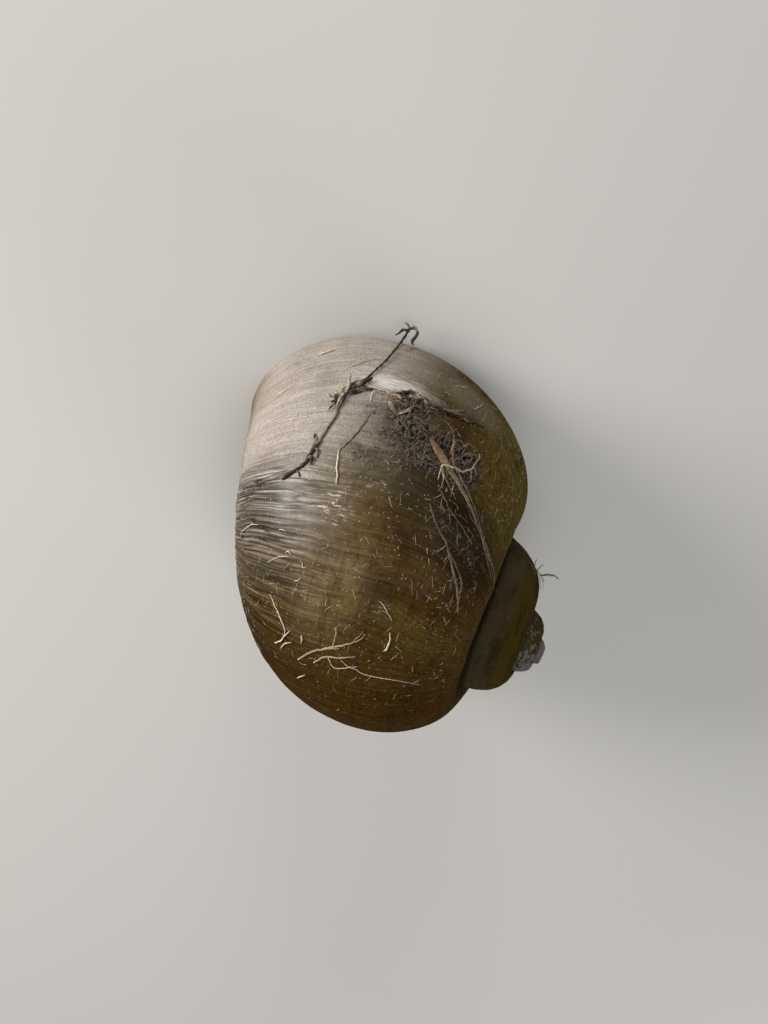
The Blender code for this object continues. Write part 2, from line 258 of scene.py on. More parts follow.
def shell_point(tube, turn, around, reach=1.0, swell=0.0):
    """A point of the tube. Turn is the growth angle, 0 at the lip and negative towards the apex. Around runs
    round the section from its outermost point over the apex side. Reach goes from the section's centre to its
    wall. Swell moves the wall outwards by a real distance."""
    grown = turn + reach * (around.sin() * tube["Lean top"] + around.cos() * tube["Lean out"])
    growth = grown * tube["Whorl growth"].log() / TURN
    size = growth.exp()
    flare = 1 + tube["Lip flare"] * (turn.least(0.0) / tube["Flare span"]).exp()
    wide = (tube["Mouth half width"] * flare + swell / size) * around.cos()
    high = (tube["Mouth half height"] * flare + swell / size) * around.sin()
    outward = wide * tube["Tube tilt"].cos() - high * tube["Tube tilt"].sin()
    upward = wide * tube["Tube tilt"].sin() + high * tube["Tube tilt"].cos()
    level = upward / tube["Mouth half height"]
    outward = outward * (1 - tube["Tube narrowing"] * level * level)
    radius = ((tube["Mouth from axis"] + reach * outward) * size).most(AXIS_CLEAR)
    drop = tube["Mouth below apex"] * (tube["Spire draw"] * growth).exp() - reach * upward
    return place(radius * grown.cos(), -(radius * grown.sin()), -(drop * size))


def patch(turn, around, middle, half, edge=0.35):
    """1 within an oval of the shell's skin and 0 outside it, soft at its edge. Angles are in degrees."""
    across = (turn - math.radians(middle[0])) / math.radians(half[0])
    along = (around - math.radians(middle[1])) / math.radians(half[1])
    return (across * across + along * along).sqrt().ramp(1 + edge, 1 - edge)


def skin_length(tube, turn):
    """Metres of growth along the rim of the tube, so that growth lines keep one spacing on every whorl."""
    rate = tube["Whorl growth"].log() / TURN
    return (rate * turn).exp() * (tube["Mouth from axis"] + tube["Mouth half width"]) / rate


AXIS_CLEAR = 0.0001
SUTURE = math.radians(102)
# Where mud sticks: middle and half width, each as turn and around, then how thick it is
MUD_PATCHES = (
    ((-29.6, 4), (3.4, 9), 1.0),
    ((-34, 12), (5, 10), 0.38),
    ((-40, 18), (6, 15), 0.92),
    ((-37, 30), (6.5, 10), 1.0),
    ((-42.5, -2), (11, 14), 0.56),
    ((-52, 34), (9, 8), 0.48),
    ((-64, 48), (12, 8), 0.46),
    ((-58, 62), (8, 9), 0.40),
    ((-62, 16), (10, 5), 0.30),
    ((-35, 66), (5, 9), 0.30),
)


def mud_cover(tube, turn, around):
    """How thickly mud covers the skin, from 0 to 1, with ragged edges drawn out along the growth lines."""
    length = skin_length(tube, turn)
    rag = noise(place(length / 0.0042, around * 5.0, 4.3), 1.0, 6.0, 0.68)
    cover = 0.0
    for middle, half, thickness in MUD_PATCHES:
        cover = cover + patch(turn, around, middle, half, 0.6) * thickness
    return (cover * 0.52 + (rag - 0.5) * 1.9).ramp(0.22, 0.5) * (cover * 1.3).least(1.0)


def groove(where, breadth):
    """1 in crisp narrow furrows that run and fork through the skin, 0 between them."""
    return 1 - (noise(where, 1.0, 3.0, 0.5) - 0.5).size().ramp(0.0, breadth)


def sway_of(length, around):
    """How far the growth lines swing out of true, in line spacings."""
    return noise(place(length / 0.024, around * 1.5, 7.4), 1.0, 1.0) * 2.6


def rough_side(around):
    """1 on the side towards the base, where the growth wrinkles are deep, and 0 on the spire side."""
    return around.ramp(math.radians(10), math.radians(-36))


def relief(tube, turn, around):
    """How far the skin stands proud of the plain tube: growth wrinkles, one growth-rest ridge, shallow dents,
    the sunken channel at the suture and the worn spire."""
    length = skin_length(tube, turn)
    rate = tube["Whorl growth"].log() / TURN
    size = (rate * turn).exp()
    sway = sway_of(length, around)
    side = rough_side(around)
    rough_time = turn.ramp(math.radians(-40), math.radians(-56)) * turn.ramp(math.radians(-185), math.radians(-110))
    strength = side * (0.1 + 0.9 * rough_time)
    furrow = groove(place(length / 0.0019 + sway, around * 1.1, 1.4), 0.16)
    deep = groove(place(length / 0.0046 + sway * 0.5, around * 0.8, 6.2), 0.09)
    wrinkle = noise(place(length / 0.0018 + sway * 1.3, around * 0.7, 3.4), 1.0, 1.0) - 0.5
    fold = noise(place(length / 0.0085 + sway * 0.3, around * 0.5, 2.6), 1.0, 1.0) - 0.5
    height = wrinkle * (0.00003 + 0.00007 * strength) - furrow * (0.00001 + 0.00007 * strength)
    height = height - deep * strength * 0.00015
    height = height + fold * (0.0002 + 0.00028 * side)
    dents = noise(place(length / 0.016, around * 2.0, 9.3), 1.0, 1.0) - 0.5
    height = height + dents * 0.0007
    wander = (noise(place(around * 3.0, 1.4, 5.4), 1.0, 2.0) - 0.5) * math.radians(5)
    rest = turn + wander - (around - math.radians(-5)).ramp(math.radians(10), math.radians(42)) * math.radians(9)
    rise = rest.ramp(math.radians(-40), math.radians(-30.5))
    fall = rest.ramp(math.radians(-24.5), math.radians(-30.5))
    along_rest = around.ramp(math.radians(-75), math.radians(-20)) * around.ramp(math.radians(75), math.radians(40))
    height = height + rise * fall * 0.00075 * along_rest
    channel = around.ramp(math.radians(84), SUTURE)
    height = height - channel * size * 0.0016
    worn = turn.ramp(math.radians(-600), math.radians(-800))
    pits = noise(place(length / 0.0028, around * 2.2, 6.6), 1.0, 3.0, 0.6)
    height = height - worn * size * (pits.ramp(0.42, 0.7) * 0.0045)
    return height


RINGS = 1120
SIDES = 84
FIRST_TURN = -23.61
RING_CROWDING = 2.5
SIDE_CROWDING = 0.45
NOSE_SPAN = 0.7
LIP_WALL = 0.0010
COLUMELLA_WALL = 0.0036
MOUTH_INSIDE = 0.24
LIP_ROUND = 0.012


def skin_colours():
    """The finish of the horny skin: olive to brown with dark growth lines, partly painted shade in their creases, a
    dull dried film towards the base that is partly a painted sheen, dust, scratches with painted glints, painted
    highlights on the wrinkle crests and the growth-rest ridge, painted shade at the sutures, mud on the back and bare
    lime on the worn spire."""
    material = bpy.data.materials.new("periostracum")
    material.use_nodes = True
    tree = material.node_tree
    shader = tree.nodes["Principled BSDF"]

    def value(name):
        return add_node(tree, "ShaderNodeAttribute", {"attribute_name": name}, {}).other("Fac")

    def mix(amount, first, second):
        sockets = {"Factor": amount, "A": first, "B": second}
        return add_node(tree, "ShaderNodeMix", {"data_type": "RGBA"}, sockets)

    def specks(stretch, across, small, share):
        """Scattered flecks: cells of the skin, of which only some hold a fleck, cut to a ragged shape."""
        where = place(length / stretch, around * across, 1.7)
        cells = add_node(tree, "ShaderNodeTexVoronoi", {}, {"Vector": where, "Scale": 1.0})
        chosen = add_node(tree, "ShaderNodeSeparateXYZ", {}, {"Vector": cells.other("Color")})
        ragged = cells.other("Distance") + (noise(where, 3.0, 2.0) - 0.5) * 0.3
        return ragged.ramp(small, small * 0.5) * chosen.ramp(1 - share, 1 - share * 0.8)

    turn, around, length, mud, inside = (value(key) for key in ("turn", "around", "skin_length", "mud", "inside"))
    sway = sway_of(length, around)
    side = rough_side(around)
    furrow = groove(place(length / 0.0019 + sway, around * 1.1, 1.4), 0.075)
    crease = groove(place(length / 0.00085 + sway * 1.5, around * 0.9, 5.2), 0.13)
    deep = groove(place(length / 0.0046 + sway * 0.5, around * 0.8, 6.2), 0.030)
    crest_highlight = noise(place(length / 0.0012 + sway * 1.7, around * 1.1, 8.6), 1.0, 3.0, 0.6).ramp(0.52, 0.66)
    fine = noise(place(length / 0.00045 + sway * 5.0, around * 2.6, 1.6), 1.0, 4.0, 0.65)
    band = noise(place(length / 0.011 + sway * 0.3, around * 0.6, 2.3), 1.0, 2.0)
    spiral = noise(place(length / 0.05, around * 17.0, 3.6), 1.0, 4.0, 0.6)
    blotch = noise(place(length / 0.011, around * 3.2, 8.4), 1.0, 6.0, 0.62)
    grain = noise(place(length / 0.0007, around * 50.0, 5.7), 1.0, 4.0, 0.65)

    olive = (0.090, 0.061, 0.012, 1)
    dark = (0.014, 0.009, 0.004, 1)
    brown = (0.070, 0.034, 0.007, 1)
    colour = mix(band.ramp(0.35, 0.7), olive, brown)
    glow = patch(turn, around, (-78, -8), (17, 19), 0.8) * (0.35 + 0.65 * blotch.ramp(0.35, 0.6))
    colour = mix(glow * 0.58, colour, (0.250, 0.190, 0.105, 1))
    shade = patch(turn, around, (-66, 19), (30, 8), 0.9) * blotch.ramp(0.38, 0.6)
    colour = mix(shade * 0.7, colour, dark)
    # The older growth of the body whorl turns darker brown: partly the skin's own brown, partly painted shade.
    early_and_shaded = turn.ramp(math.radians(-84), math.radians(-118))
    colour = mix(early_and_shaded * 0.9, colour, (0.046, 0.0195, 0.0014, 1))
    # The young side is a paler olive: partly its own colour, partly painted light shining through the skin from behind.
    young_and_backlit = around.ramp(math.radians(15), math.radians(50)) * turn.ramp(math.radians(-70), math.radians(-15))
    colour = mix(young_and_backlit * 0.8, colour, (0.118, 0.086, 0.018, 1))
    colour = mix(spiral.ramp(0.52, 0.72) * 0.45, colour, dark)
    mottle = noise(place(length / 0.0048, around * 11.0, 3.9), 1.0, 6.0, 0.66)
    colour = mix(mottle.ramp(0.5, 0.66) * (0.5 - 0.4 * side), colour, dark)
    fleck = noise(place(length / 0.0010 + sway * 0.5, around * 34.0, 2.9), 1.0, 5.0, 0.75)
    colour = mix(fleck.ramp(0.55, 0.66) * (0.62 - 0.3 * side), colour, dark)
    colour = mix(fleck.ramp(0.42, 0.32) * 0.34, colour, (0.27, 0.215, 0.125, 1))
    # The pale dried film towards the base is partly a painted sheen, and it fades out past the outline of the back.
    side_time = turn.ramp(math.radians(-94), math.radians(-50))
    film_and_sheen = around.ramp(math.radians(8), math.radians(-32)) * side_time
    film_and_sheen = film_and_sheen.most(around.ramp(math.radians(22), math.radians(-18)) * turn.ramp(math.radians(-62), math.radians(-40)))
    # A painted rim sheen near the top of the young side.
    film_and_sheen = film_and_sheen.most(patch(turn, around, (-13, 20), (7, 15), 0.9) * 0.34)
    film_and_sheen = film_and_sheen * (0.74 + 0.26 * blotch.ramp(0.3, 0.55)) * around.ramp(math.radians(-100), math.radians(-64))
    streak = fine * 0.6 + grain * 0.4
    film_and_sheen_tone = mix(streak.ramp(0.36, 0.64), (0.265, 0.232, 0.205, 1), (0.405, 0.368, 0.332, 1))
    speckle = noise(place(length / 0.0004, around * 90.0, 7.7), 1.0, 3.0, 0.7)
    film_and_sheen_tone = mix(speckle.ramp(0.56, 0.66) * 0.55, film_and_sheen_tone, (0.150, 0.125, 0.105, 1))
    film_and_sheen_tone = mix(speckle.ramp(0.44, 0.34) * 0.55, film_and_sheen_tone, (0.62, 0.575, 0.52, 1))
    colour = mix(film_and_sheen * 0.92, colour, film_and_sheen_tone)
    stain = patch(turn, around, (-43, 12), (13.5, 21), 0.8).most(patch(turn, around, (-56, 40), (14, 22), 0.8) * 0.8)
    stain = stain.most(patch(turn, around, (-38, -10), (7, 9), 0.9) * 0.5)
    colour = mix(stain * (0.35 + 0.5 * blotch.ramp(0.35, 0.6)), colour, (0.034, 0.025, 0.016, 1))
    beneath = patch(turn, around, (-50, 40), (6, 13), 0.8).most(patch(turn, around, (-58, 58), (9, 16), 0.8))
    colour = mix(beneath * 0.72, colour, (0.011, 0.007, 0.002, 1))
    lined = side * turn.ramp(math.radians(-45), math.radians(-60))
    wet = lined * turn.ramp(math.radians(-106), math.radians(-82))
    colour = mix(fine.ramp(0.48, 0.3) * (0.16 + 0.14 * side) * (1 - mud), colour, (0.19, 0.145, 0.075, 1))
    # Painted highlights on the crests between the growth creases.
    crest_highlight = crest_highlight * (0.03 + 0.25 * lined) * (1 - mud) * (1 - early_and_shaded * 0.8)
    colour = mix(crest_highlight, colour, (0.36, 0.32, 0.26, 1))
    # The dark creases, furrows and deep grooves are partly the skin's own dark growth lines and partly painted shade in
    # the grooves.
    colour = mix(crease * (0.16 + 0.70 * lined), colour, dark)
    colour = mix(furrow * (0.10 + 0.45 * lined), colour, dark)
    deep = deep * wet * around.ramp(math.radians(-78), math.radians(-48))
    colour = mix(deep * 0.9, colour, dark)
    colour = mix(fine.ramp(0.5, 0.7) * (0.5 - 0.3 * film_and_sheen), colour, dark)
    old = turn.ramp(math.radians(-300), math.radians(-380))
    colour = mix(old * 0.7, colour, (0.050, 0.037, 0.006, 1))
    colour = mix(old * around.ramp(math.radians(52), math.radians(18)) * 0.6, colour, (0.050, 0.040, 0.028, 1))
    colour = mix(old * blotch.ramp(0.45, 0.7) * 0.6, colour, dark)
    flaked = noise(place(length / 0.0022, around * 5.0, 8.8), 1.0, 5.0, 0.7)
    worn = turn.ramp(math.radians(-700), math.radians(-1060)) * 0.55 + flaked - 0.5
    worn = worn.ramp(0.06, 0.16) * turn.ramp(math.radians(-620), math.radians(-740))
    lime = mix(grain.ramp(0.34, 0.68), (0.07, 0.058, 0.046, 1), (0.29, 0.27, 0.245, 1))
    colour = mix(worn * 0.9, colour, lime)
    # The sutures are painted dark: partly dirt, partly painted shade in the sunken seam between the whorls.
    seam = around.ramp(math.radians(94), math.radians(101)).most(
        around.ramp(math.radians(15), math.radians(9)) * turn.ramp(math.radians(-335), math.radians(-350))
    )
    colour = mix(seam * 0.8, colour, (0.008, 0.006, 0.004, 1))
    ragged = noise(place(length / 0.0006 + sway, around * 16.0, 9.2), 1.0, 5.0, 0.75)
    brushed = noise(place(length / 0.0005 + sway, around * 8.0, 4.9), 1.0, 5.0, 0.72)
    # A painted highlight in brushed streaks along the growth-rest ridge, with some pale abrasion, and pale scrapes that
    # are partly painted glints, all mixed in as one pale colour.
    ridge = patch(turn, around, (-25, -5), (4.6, 16), 0.9)
    ridge = (ridge * 0.42 + brushed - 0.42).ramp(0.22, 0.56) * ridge
    scraped_and_glints = (patch(turn, around, (-62, -8), (8, 10), 0.9) * 0.7).most(patch(turn, around, (-54, 4), (3, 8), 0.9) * 0.6)
    scraped_and_glints = scraped_and_glints.most(patch(turn, around, (-84, 22), (4.5, 6), 0.9) * 0.6)
    rubbed_and_highlight = ridge.most((scraped_and_glints * 0.42 + ragged - 0.3).ramp(0.48, 0.60) * scraped_and_glints)
    colour = mix(rubbed_and_highlight * 0.78, colour, (0.60, 0.575, 0.54, 1))
    dust = specks(0.0009, 40.0, 0.22, 0.18).most(specks(0.0028, 85.0, 0.2, 0.14)).most(specks(0.0007, 24.0, 0.18, 0.12))
    dust = dust * (1 - early_and_shaded * 0.5)
    colour = mix(dust * 0.62 * (1 - inside), colour, (0.38, 0.33, 0.245, 1))
    earth = mix(grain.ramp(0.42, 0.66), (0.008, 0.006, 0.004, 1), (0.130, 0.102, 0.080, 1))
    colour = mix(mud * 0.94, colour, earth)
    colour = mix(inside, colour, mix(blotch.ramp(0.35, 0.65), (0.16, 0.10, 0.05, 1), (0.30, 0.22, 0.13, 1)))
    tree.links.new(colour.socket, shader.inputs["Base Color"])

    dull = (0.30 + 0.26 * blotch).most(mud * 0.92).most(worn * 0.85).most(seam * 0.8).most(dust * 0.8).most(stain * 0.6)
    tree.links.new(dull.socket, shader.inputs["Roughness"])
    coat = ((0.04 + 0.32 * wet + 0.6 * rubbed_and_highlight) * (1 - mud) * (1 - worn) * (1 - stain) * blotch.ramp(0.7, 0.35)).least(1.0)
    tree.links.new(coat.socket, shader.inputs["Coat Weight"])
    shader.inputs["Coat Roughness"].default_value = 0.30
    shader.inputs["Specular IOR Level"].default_value = 0.0

    height = fine * 0.35 - crease * (0.15 + 0.5 * lined) - furrow * (0.1 + 0.7 * lined) - deep * 1.3 + dust * 0.5
    height = height + mud * grain * 3.2 + worn * grain * 2.4
    bump = add_node(tree, "ShaderNodeBump", {}, {"Strength": 0.75, "Distance": 0.00014, "Height": height})
    tree.links.new(bump.socket, shader.inputs["Normal"])
    return material


def wind_shell():
    """The outer wall from the worn apex to the lip, then the lip's rounded edge, the inner wall and a floor
    behind the lid, as two grids joined at the edge."""
    recipe = Recipe("wind the shell", {
        **TUBE, "Rings": RINGS, "Sides": SIDES, "First turn": FIRST_TURN, "Ring crowding": RING_CROWDING,
        "Side crowding": SIDE_CROWDING, "Nose span": NOSE_SPAN, "Lip wall": LIP_WALL,
        "Columella wall": COLUMELLA_WALL, "Mouth inside": MOUTH_INSIDE, "Lip round": LIP_ROUND,
    })
    tube = recipe.sizes

    outside, share, even = recipe.grid(tube["Rings"], tube["Sides"])
    around = even - even.sin() * tube["Side crowding"]
    crowded = (tube["Ring crowding"] * (1 - share)).exp() - 1
    turn = tube["First turn"] * crowded / (tube["Ring crowding"].exp() - 1)
    reach = ((turn - tube["First turn"]) / tube["Nose span"]).share(0.0, 1.0).sqrt()
    lip_fade = turn.ramp(0.0, math.radians(-3))
    mud = mud_cover(tube, turn, around)
    clods = noise(place(skin_length(tube, turn) / 0.0012, around * 22.0, 2.7), 1.0, 2.0)
    height = relief(tube, turn, around) * lip_fade + mud * clods * 0.0006
    position = shell_point(tube, turn, around, reach, height)
    outside = recipe.moved(outside, position)
    kept = {"turn": turn, "around": around, "skin_length": skin_length(tube, turn), "mud": mud}
    for name, amount in kept.items():
        outside = recipe.keep(outside, name, amount)

    inside, deep, even = recipe.grid(60, tube["Sides"])
    around = even - even.sin() * tube["Side crowding"]
    edge = deep.share(0.0, 0.2) * math.pi
    back = deep.share(0.2, 0.75)
    closing = deep.share(0.75, 1.0)
    turn = edge.sin() * tube["Lip round"] - back * tube["Mouth inside"]
    inner_side = (0.5 - 0.5 * around.cos()) ** 2
    wall = tube["Lip wall"] + (tube["Columella wall"] - tube["Lip wall"]) * inner_side
    thin = (0.5 - 0.5 * edge.cos()) * -1.0
    position = shell_point(tube, turn, around, 1 - closing, thin * wall)
    inside = recipe.moved(inside, position)
    inside = recipe.keep(inside, "turn", turn)
    inside = recipe.keep(inside, "around", around)
    inside = recipe.keep(inside, "skin_length", skin_length(tube, turn))
    inside = recipe.keep(inside, "inside", deep.ramp(0.1, 0.25))

    both = recipe.tree.nodes.new("GeometryNodeJoinGeometry")
    for part in (inside, outside):
        recipe.tree.links.new(part.socket, both.inputs[0])
    joined = Socket(recipe.tree, both.outputs[0])
    return recipe.end(recipe.close(joined))


shell = wind_shell().bake("shell", skin_colours())
whorls = ("shell_body_whorl", "shell_penultimate_whorl", "shell_third_whorl", "shell_apex_whorls", "shell_outer_lip")
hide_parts(*whorls)

# The lid, or operculum, is a thin dished plate of horn that grows on the foot and shuts the mouth. It thickens
# from a nucleus near the inner lip, one ring at a time.

LID = {
    "Lid depth": 0.0019,
    "Lid thickness": 0.0012,
    "Lid margin": 0.0009,
    "Lid dish": 0.0008,
    "Nucleus out": -0.42,
    "Nucleus up": 0.02,
    "Ring height": 0.00016,
    "Rings of growth": 9.0,
    "Lip wall inside": 0.0013,
    "Wall at columella": 0.0036,
}


def mouth_point(tube, around, reach, depth, swell):
    """A point on the mouth's own surface, moved into the shell by a real depth along the tube."""
    start = around * 0.0
    before = start - 0.01
    here = shell_point(tube, start, around, reach, swell)
    along = here - shell_point(tube, before, around, reach, swell)
    along = along + (shell_point(tube, start, start, 0.0) - shell_point(tube, before, start, 0.0)) * 0.35
    return here - along.unit() * depth


def mouth_wall(tube, around):
    """The wall's thickness round the mouth: thin outside, thick along the columella."""
    inner_side = (0.5 - 0.5 * around.cos()) ** 2
    return tube["Lip wall inside"] + (tube["Wall at columella"] - tube["Lip wall inside"]) * inner_side


def horn_finish():
    """Brown horn, streaked dark and pale along its growth rings and blotched, with a faint bump."""
    material = bpy.data.materials.new("horn")
    material.use_nodes = True
    tree = material.node_tree
    shader = tree.nodes["Principled BSDF"]
    ring = add_node(tree, "ShaderNodeAttribute", {"attribute_name": "ring"}, {}).other("Fac")
    turned = add_node(tree, "ShaderNodeAttribute", {"attribute_name": "turned"}, {}).other("Fac")
    fine = noise(place(ring * 60.0, turned * 0.6, 1.3), 1.0, 3.0)
    where = add_node(tree, "ShaderNodeTexCoord", {}, {}).other("Object")
    blotch = noise(where, 220.0, 3.0)
    ramp = {"stops": ((0.0, (0.018, 0.008, 0.003)), (0.55, (0.085, 0.036, 0.012)), (1.0, (0.17, 0.085, 0.035)))}
    colour = add_node(tree, "ShaderNodeValToRGB", ramp, {"Fac": fine * 0.6 + blotch * 0.4})
    tree.links.new(colour.socket, shader.inputs["Base Color"])
    tree.links.new((0.36 + blotch * 0.25).socket, shader.inputs["Roughness"])
    bump = add_node(tree, "ShaderNodeBump", {}, {"Strength": 0.5, "Distance": 0.0001, "Height": fine})
    tree.links.new(bump.socket, shader.inputs["Normal"])
    return material


def grow_lid():
    """A front face of rings out to the rim and a plain back face, joined round the rim. Its rim draws in where
    the whorl before stands in the mouth."""
    recipe = Recipe("grow the lid", {**TUBE, **LID})
    tube = recipe.sizes
    sheet, share, turned = recipe.grid(120, 110)
    front = share.share(0.0, 0.72)
    behind = share.share(0.72, 1.0)
    out = front - behind
    east = tube["Nucleus out"] + out * (turned.cos() - tube["Nucleus out"])
    north = tube["Nucleus up"] + out * (turned.sin() - tube["Nucleus up"])
    direction = recipe.node("ShaderNodeMath", {"operation": "ARCTAN2"}, {0: north, 1: east})
    beside = (direction - math.radians(123)) / math.radians(23)
    narrow = 1 - 0.30 * (1 - beside * beside).most(0.0).sqrt()
    reach = (east * east + north * north).sqrt().least(narrow)
    rings = (out ** 0.8) * tube["Rings of growth"]
    step = recipe.node("ShaderNodeMath", {"operation": "FRACT"}, {0: rings})
    sway = noise(place(out * 26.0, turned.cos() * 0.8, turned.sin() * 0.8 + 3.3), 1.0, 2.0)
    ring = (step.ramp(0.0, 0.75) * step.ramp(1.0, 0.86) + sway * 0.5) * tube["Ring height"] * (1 - behind)
    depth = tube["Lid depth"] + tube["Lid dish"] * (1 - out * out) - ring + tube["Lid thickness"] * behind.ramp(0.0, 0.12)
    margin = (mouth_wall(tube, turned) + tube["Lid margin"]) * out * -1.0
    sheet = recipe.moved(sheet, mouth_point(tube, direction, reach, depth, margin))
    sheet = recipe.keep(recipe.keep(sheet, "ring", out), "turned", turned)
    return recipe.end(recipe.close(sheet))


lid = grow_lid().bake("lid", horn_finish())
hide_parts("operculum")

# The edge of the mantle shows as a dark damp fold between the rim of the lid and the wall of the mouth. It is
# soft flesh, drawn in behind the lid.

MANTLE = {"Fold depth": 0.0034, "Fold height": 0.0006, "Fold thickness": 0.0012}


def flesh_finish():
    """Dark damp flesh with a fine grain and paler flecks."""
    material = bpy.data.materials.new("flesh")
    material.use_nodes = True
    tree = material.node_tree
    shader = tree.nodes["Principled BSDF"]
    where = add_node(tree, "ShaderNodeTexCoord", {}, {}).other("Object")
    grain = noise(where, 1400.0, 4.0, 0.6)
    ramp = {"stops": ((0.3, (0.020, 0.016, 0.013)), (0.62, (0.065, 0.050, 0.038)), (0.8, (0.16, 0.13, 0.10)))}
    colour = add_node(tree, "ShaderNodeValToRGB", ramp, {"Fac": grain})
    tree.links.new(colour.socket, shader.inputs["Base Color"])
    shader.inputs["Roughness"].default_value = 0.35
    bump = add_node(tree, "ShaderNodeBump", {}, {"Strength": 0.6, "Distance": 0.0001, "Height": grain})
    tree.links.new(bump.socket, shader.inputs["Normal"])
    return material


def fold_mantle():
    """A collar against the wall that runs in behind the lid, front and back, with crimps round it."""
    recipe = Recipe("fold the mantle", {**TUBE, **LID, **MANTLE})
    tube = recipe.sizes
    sheet, share, around = recipe.grid(40, 160)
    front = share.share(0.0, 0.5)
    behind = share.share(0.5, 1.0)
    reach = front - behind
    crimp = noise(place(around.cos() * 9.0, around.sin() * 9.0, reach * 2.0 + 1.3), 1.0, 2.0)
    rim = reach.ramp(0.6, 1.0)
    depth = tube["Fold depth"] - rim * crimp * tube["Fold height"] * 2.0 + behind.ramp(0.0, 0.1) * tube["Fold thickness"]
    beside = (around - math.radians(123)) / math.radians(23)
    narrow = 1 - 0.30 * (1 - beside * beside).most(0.0).sqrt()
    inset = (mouth_wall(tube, around) + 0.0002) * reach * -1.0
    sheet = recipe.moved(sheet, mouth_point(tube, around, reach.least(narrow), depth, inset))
    return recipe.end(recipe.close(sheet))


mantle = fold_mantle().bake("mantle_fold", flesh_finish())
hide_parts("mantle_edge")

# The glaze is a smooth pale layer that the mantle lays on the whorl before, along the inner side of the mouth.
# It feathers out to nothing all round.

GLAZE = {
    "Glaze thickness": 0.0007,
    "Glaze width": 0.14,
    "Glaze start": -0.035,
    "Glaze slant": -0.12,
    "Glaze low end": math.radians(-74),
    "Glaze high end": math.radians(3),
}


def glaze_finish():
    """Pale shell, cream to flesh-coloured, faintly streaked."""
    material = bpy.data.materials.new("callus_shell")
    material.use_nodes = True
    tree = material.node_tree
    shader = tree.nodes["Principled BSDF"]
    where = add_node(tree, "ShaderNodeTexCoord", {}, {}).other("Object")
    streak = noise(where, 160.0, 4.0, 0.6)
    ramp = {"stops": ((0.3, (0.34, 0.24, 0.14)), (0.6, (0.55, 0.46, 0.34)), (0.8, (0.68, 0.61, 0.50)))}
    colour = add_node(tree, "ShaderNodeValToRGB", ramp, {"Fac": streak})
    tree.links.new(colour.socket, shader.inputs["Base Color"])
    tree.links.new((0.18 + streak * 0.2).socket, shader.inputs["Roughness"])
    return material


def lay_glaze():
    """A lens-shaped body whose upper side swells from the whorl and whose lower side lies just within it."""
    recipe = Recipe("lay the glaze", {**TUBE, **GLAZE})
    tube = recipe.sizes
    sheet, share, ring = recipe.grid(60, 40)
    around = tube["Glaze low end"] + (tube["Glaze high end"] - tube["Glaze low end"]) * share
    taper = (share * (1 - share) * 4.0).sqrt()
    start = tube["Glaze start"] + tube["Glaze slant"] * around - TURN
    turn = start + tube["Glaze width"] * (0.5 - 0.5 * ring.cos() * taper)
    height = ring.sin() * tube["Glaze thickness"] * taper + 0.0001
    sheet = recipe.moved(sheet, shell_point(tube, turn, around, 1.0, height))
    return recipe.end(recipe.close(sheet))


glaze = lay_glaze().bake("inner_glaze", glaze_finish())
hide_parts("shell_parietal_callus")

# Marsh litter has dried onto the back: a dead twig, a split blade of grass, rootlets and straws. Each strand is
# given by stops along it, as turn and around in degrees, lift off the skin and half width in millimetres.

MM = 0.001


def plant_finish(name, tones, dark, roughness, grain=1700.0):
    """Dry plant stuff whose tones follow each other from root to tip, with dark fibres and a matt surface."""
    material = bpy.data.materials.new(name)
    material.use_nodes = True
    tree = material.node_tree
    shader = tree.nodes["Principled BSDF"]
    along = add_node(tree, "ShaderNodeAttribute", {"attribute_name": "along"}, {}).other("Fac")
    tone = add_node(tree, "ShaderNodeAttribute", {"attribute_name": "tone"}, {}).other("Fac")
    where = add_node(tree, "ShaderNodeTexCoord", {}, {}).other("Object")
    fibre = noise(where, grain, 4.0, 0.65)
    colour = add_node(tree, "ShaderNodeValToRGB", {"stops": tones}, {"Fac": along})
    shade = (fibre.ramp(0.6, 0.38) * 0.75).most(tone.ramp(0.55, 0.2) * 0.8)
    sockets = {"Factor": shade, "A": colour, "B": (*dark, 1)}
    colour = add_node(tree, "ShaderNodeMix", {"data_type": "RGBA"}, sockets)
    tree.links.new(colour.socket, shader.inputs["Base Color"])
    shader.inputs["Roughness"].default_value = roughness
    bump = add_node(tree, "ShaderNodeBump", {}, {"Strength": 0.8, "Distance": 0.0001, "Height": fibre})
    tree.links.new(bump.socket, shader.inputs["Normal"])
    return material


STRAND = {"Flatness": 1.0, "Stops": 40, "Sides": 8, "Crook": 0.0, "Crook scale": 30.0, "Knobs": 0.0}


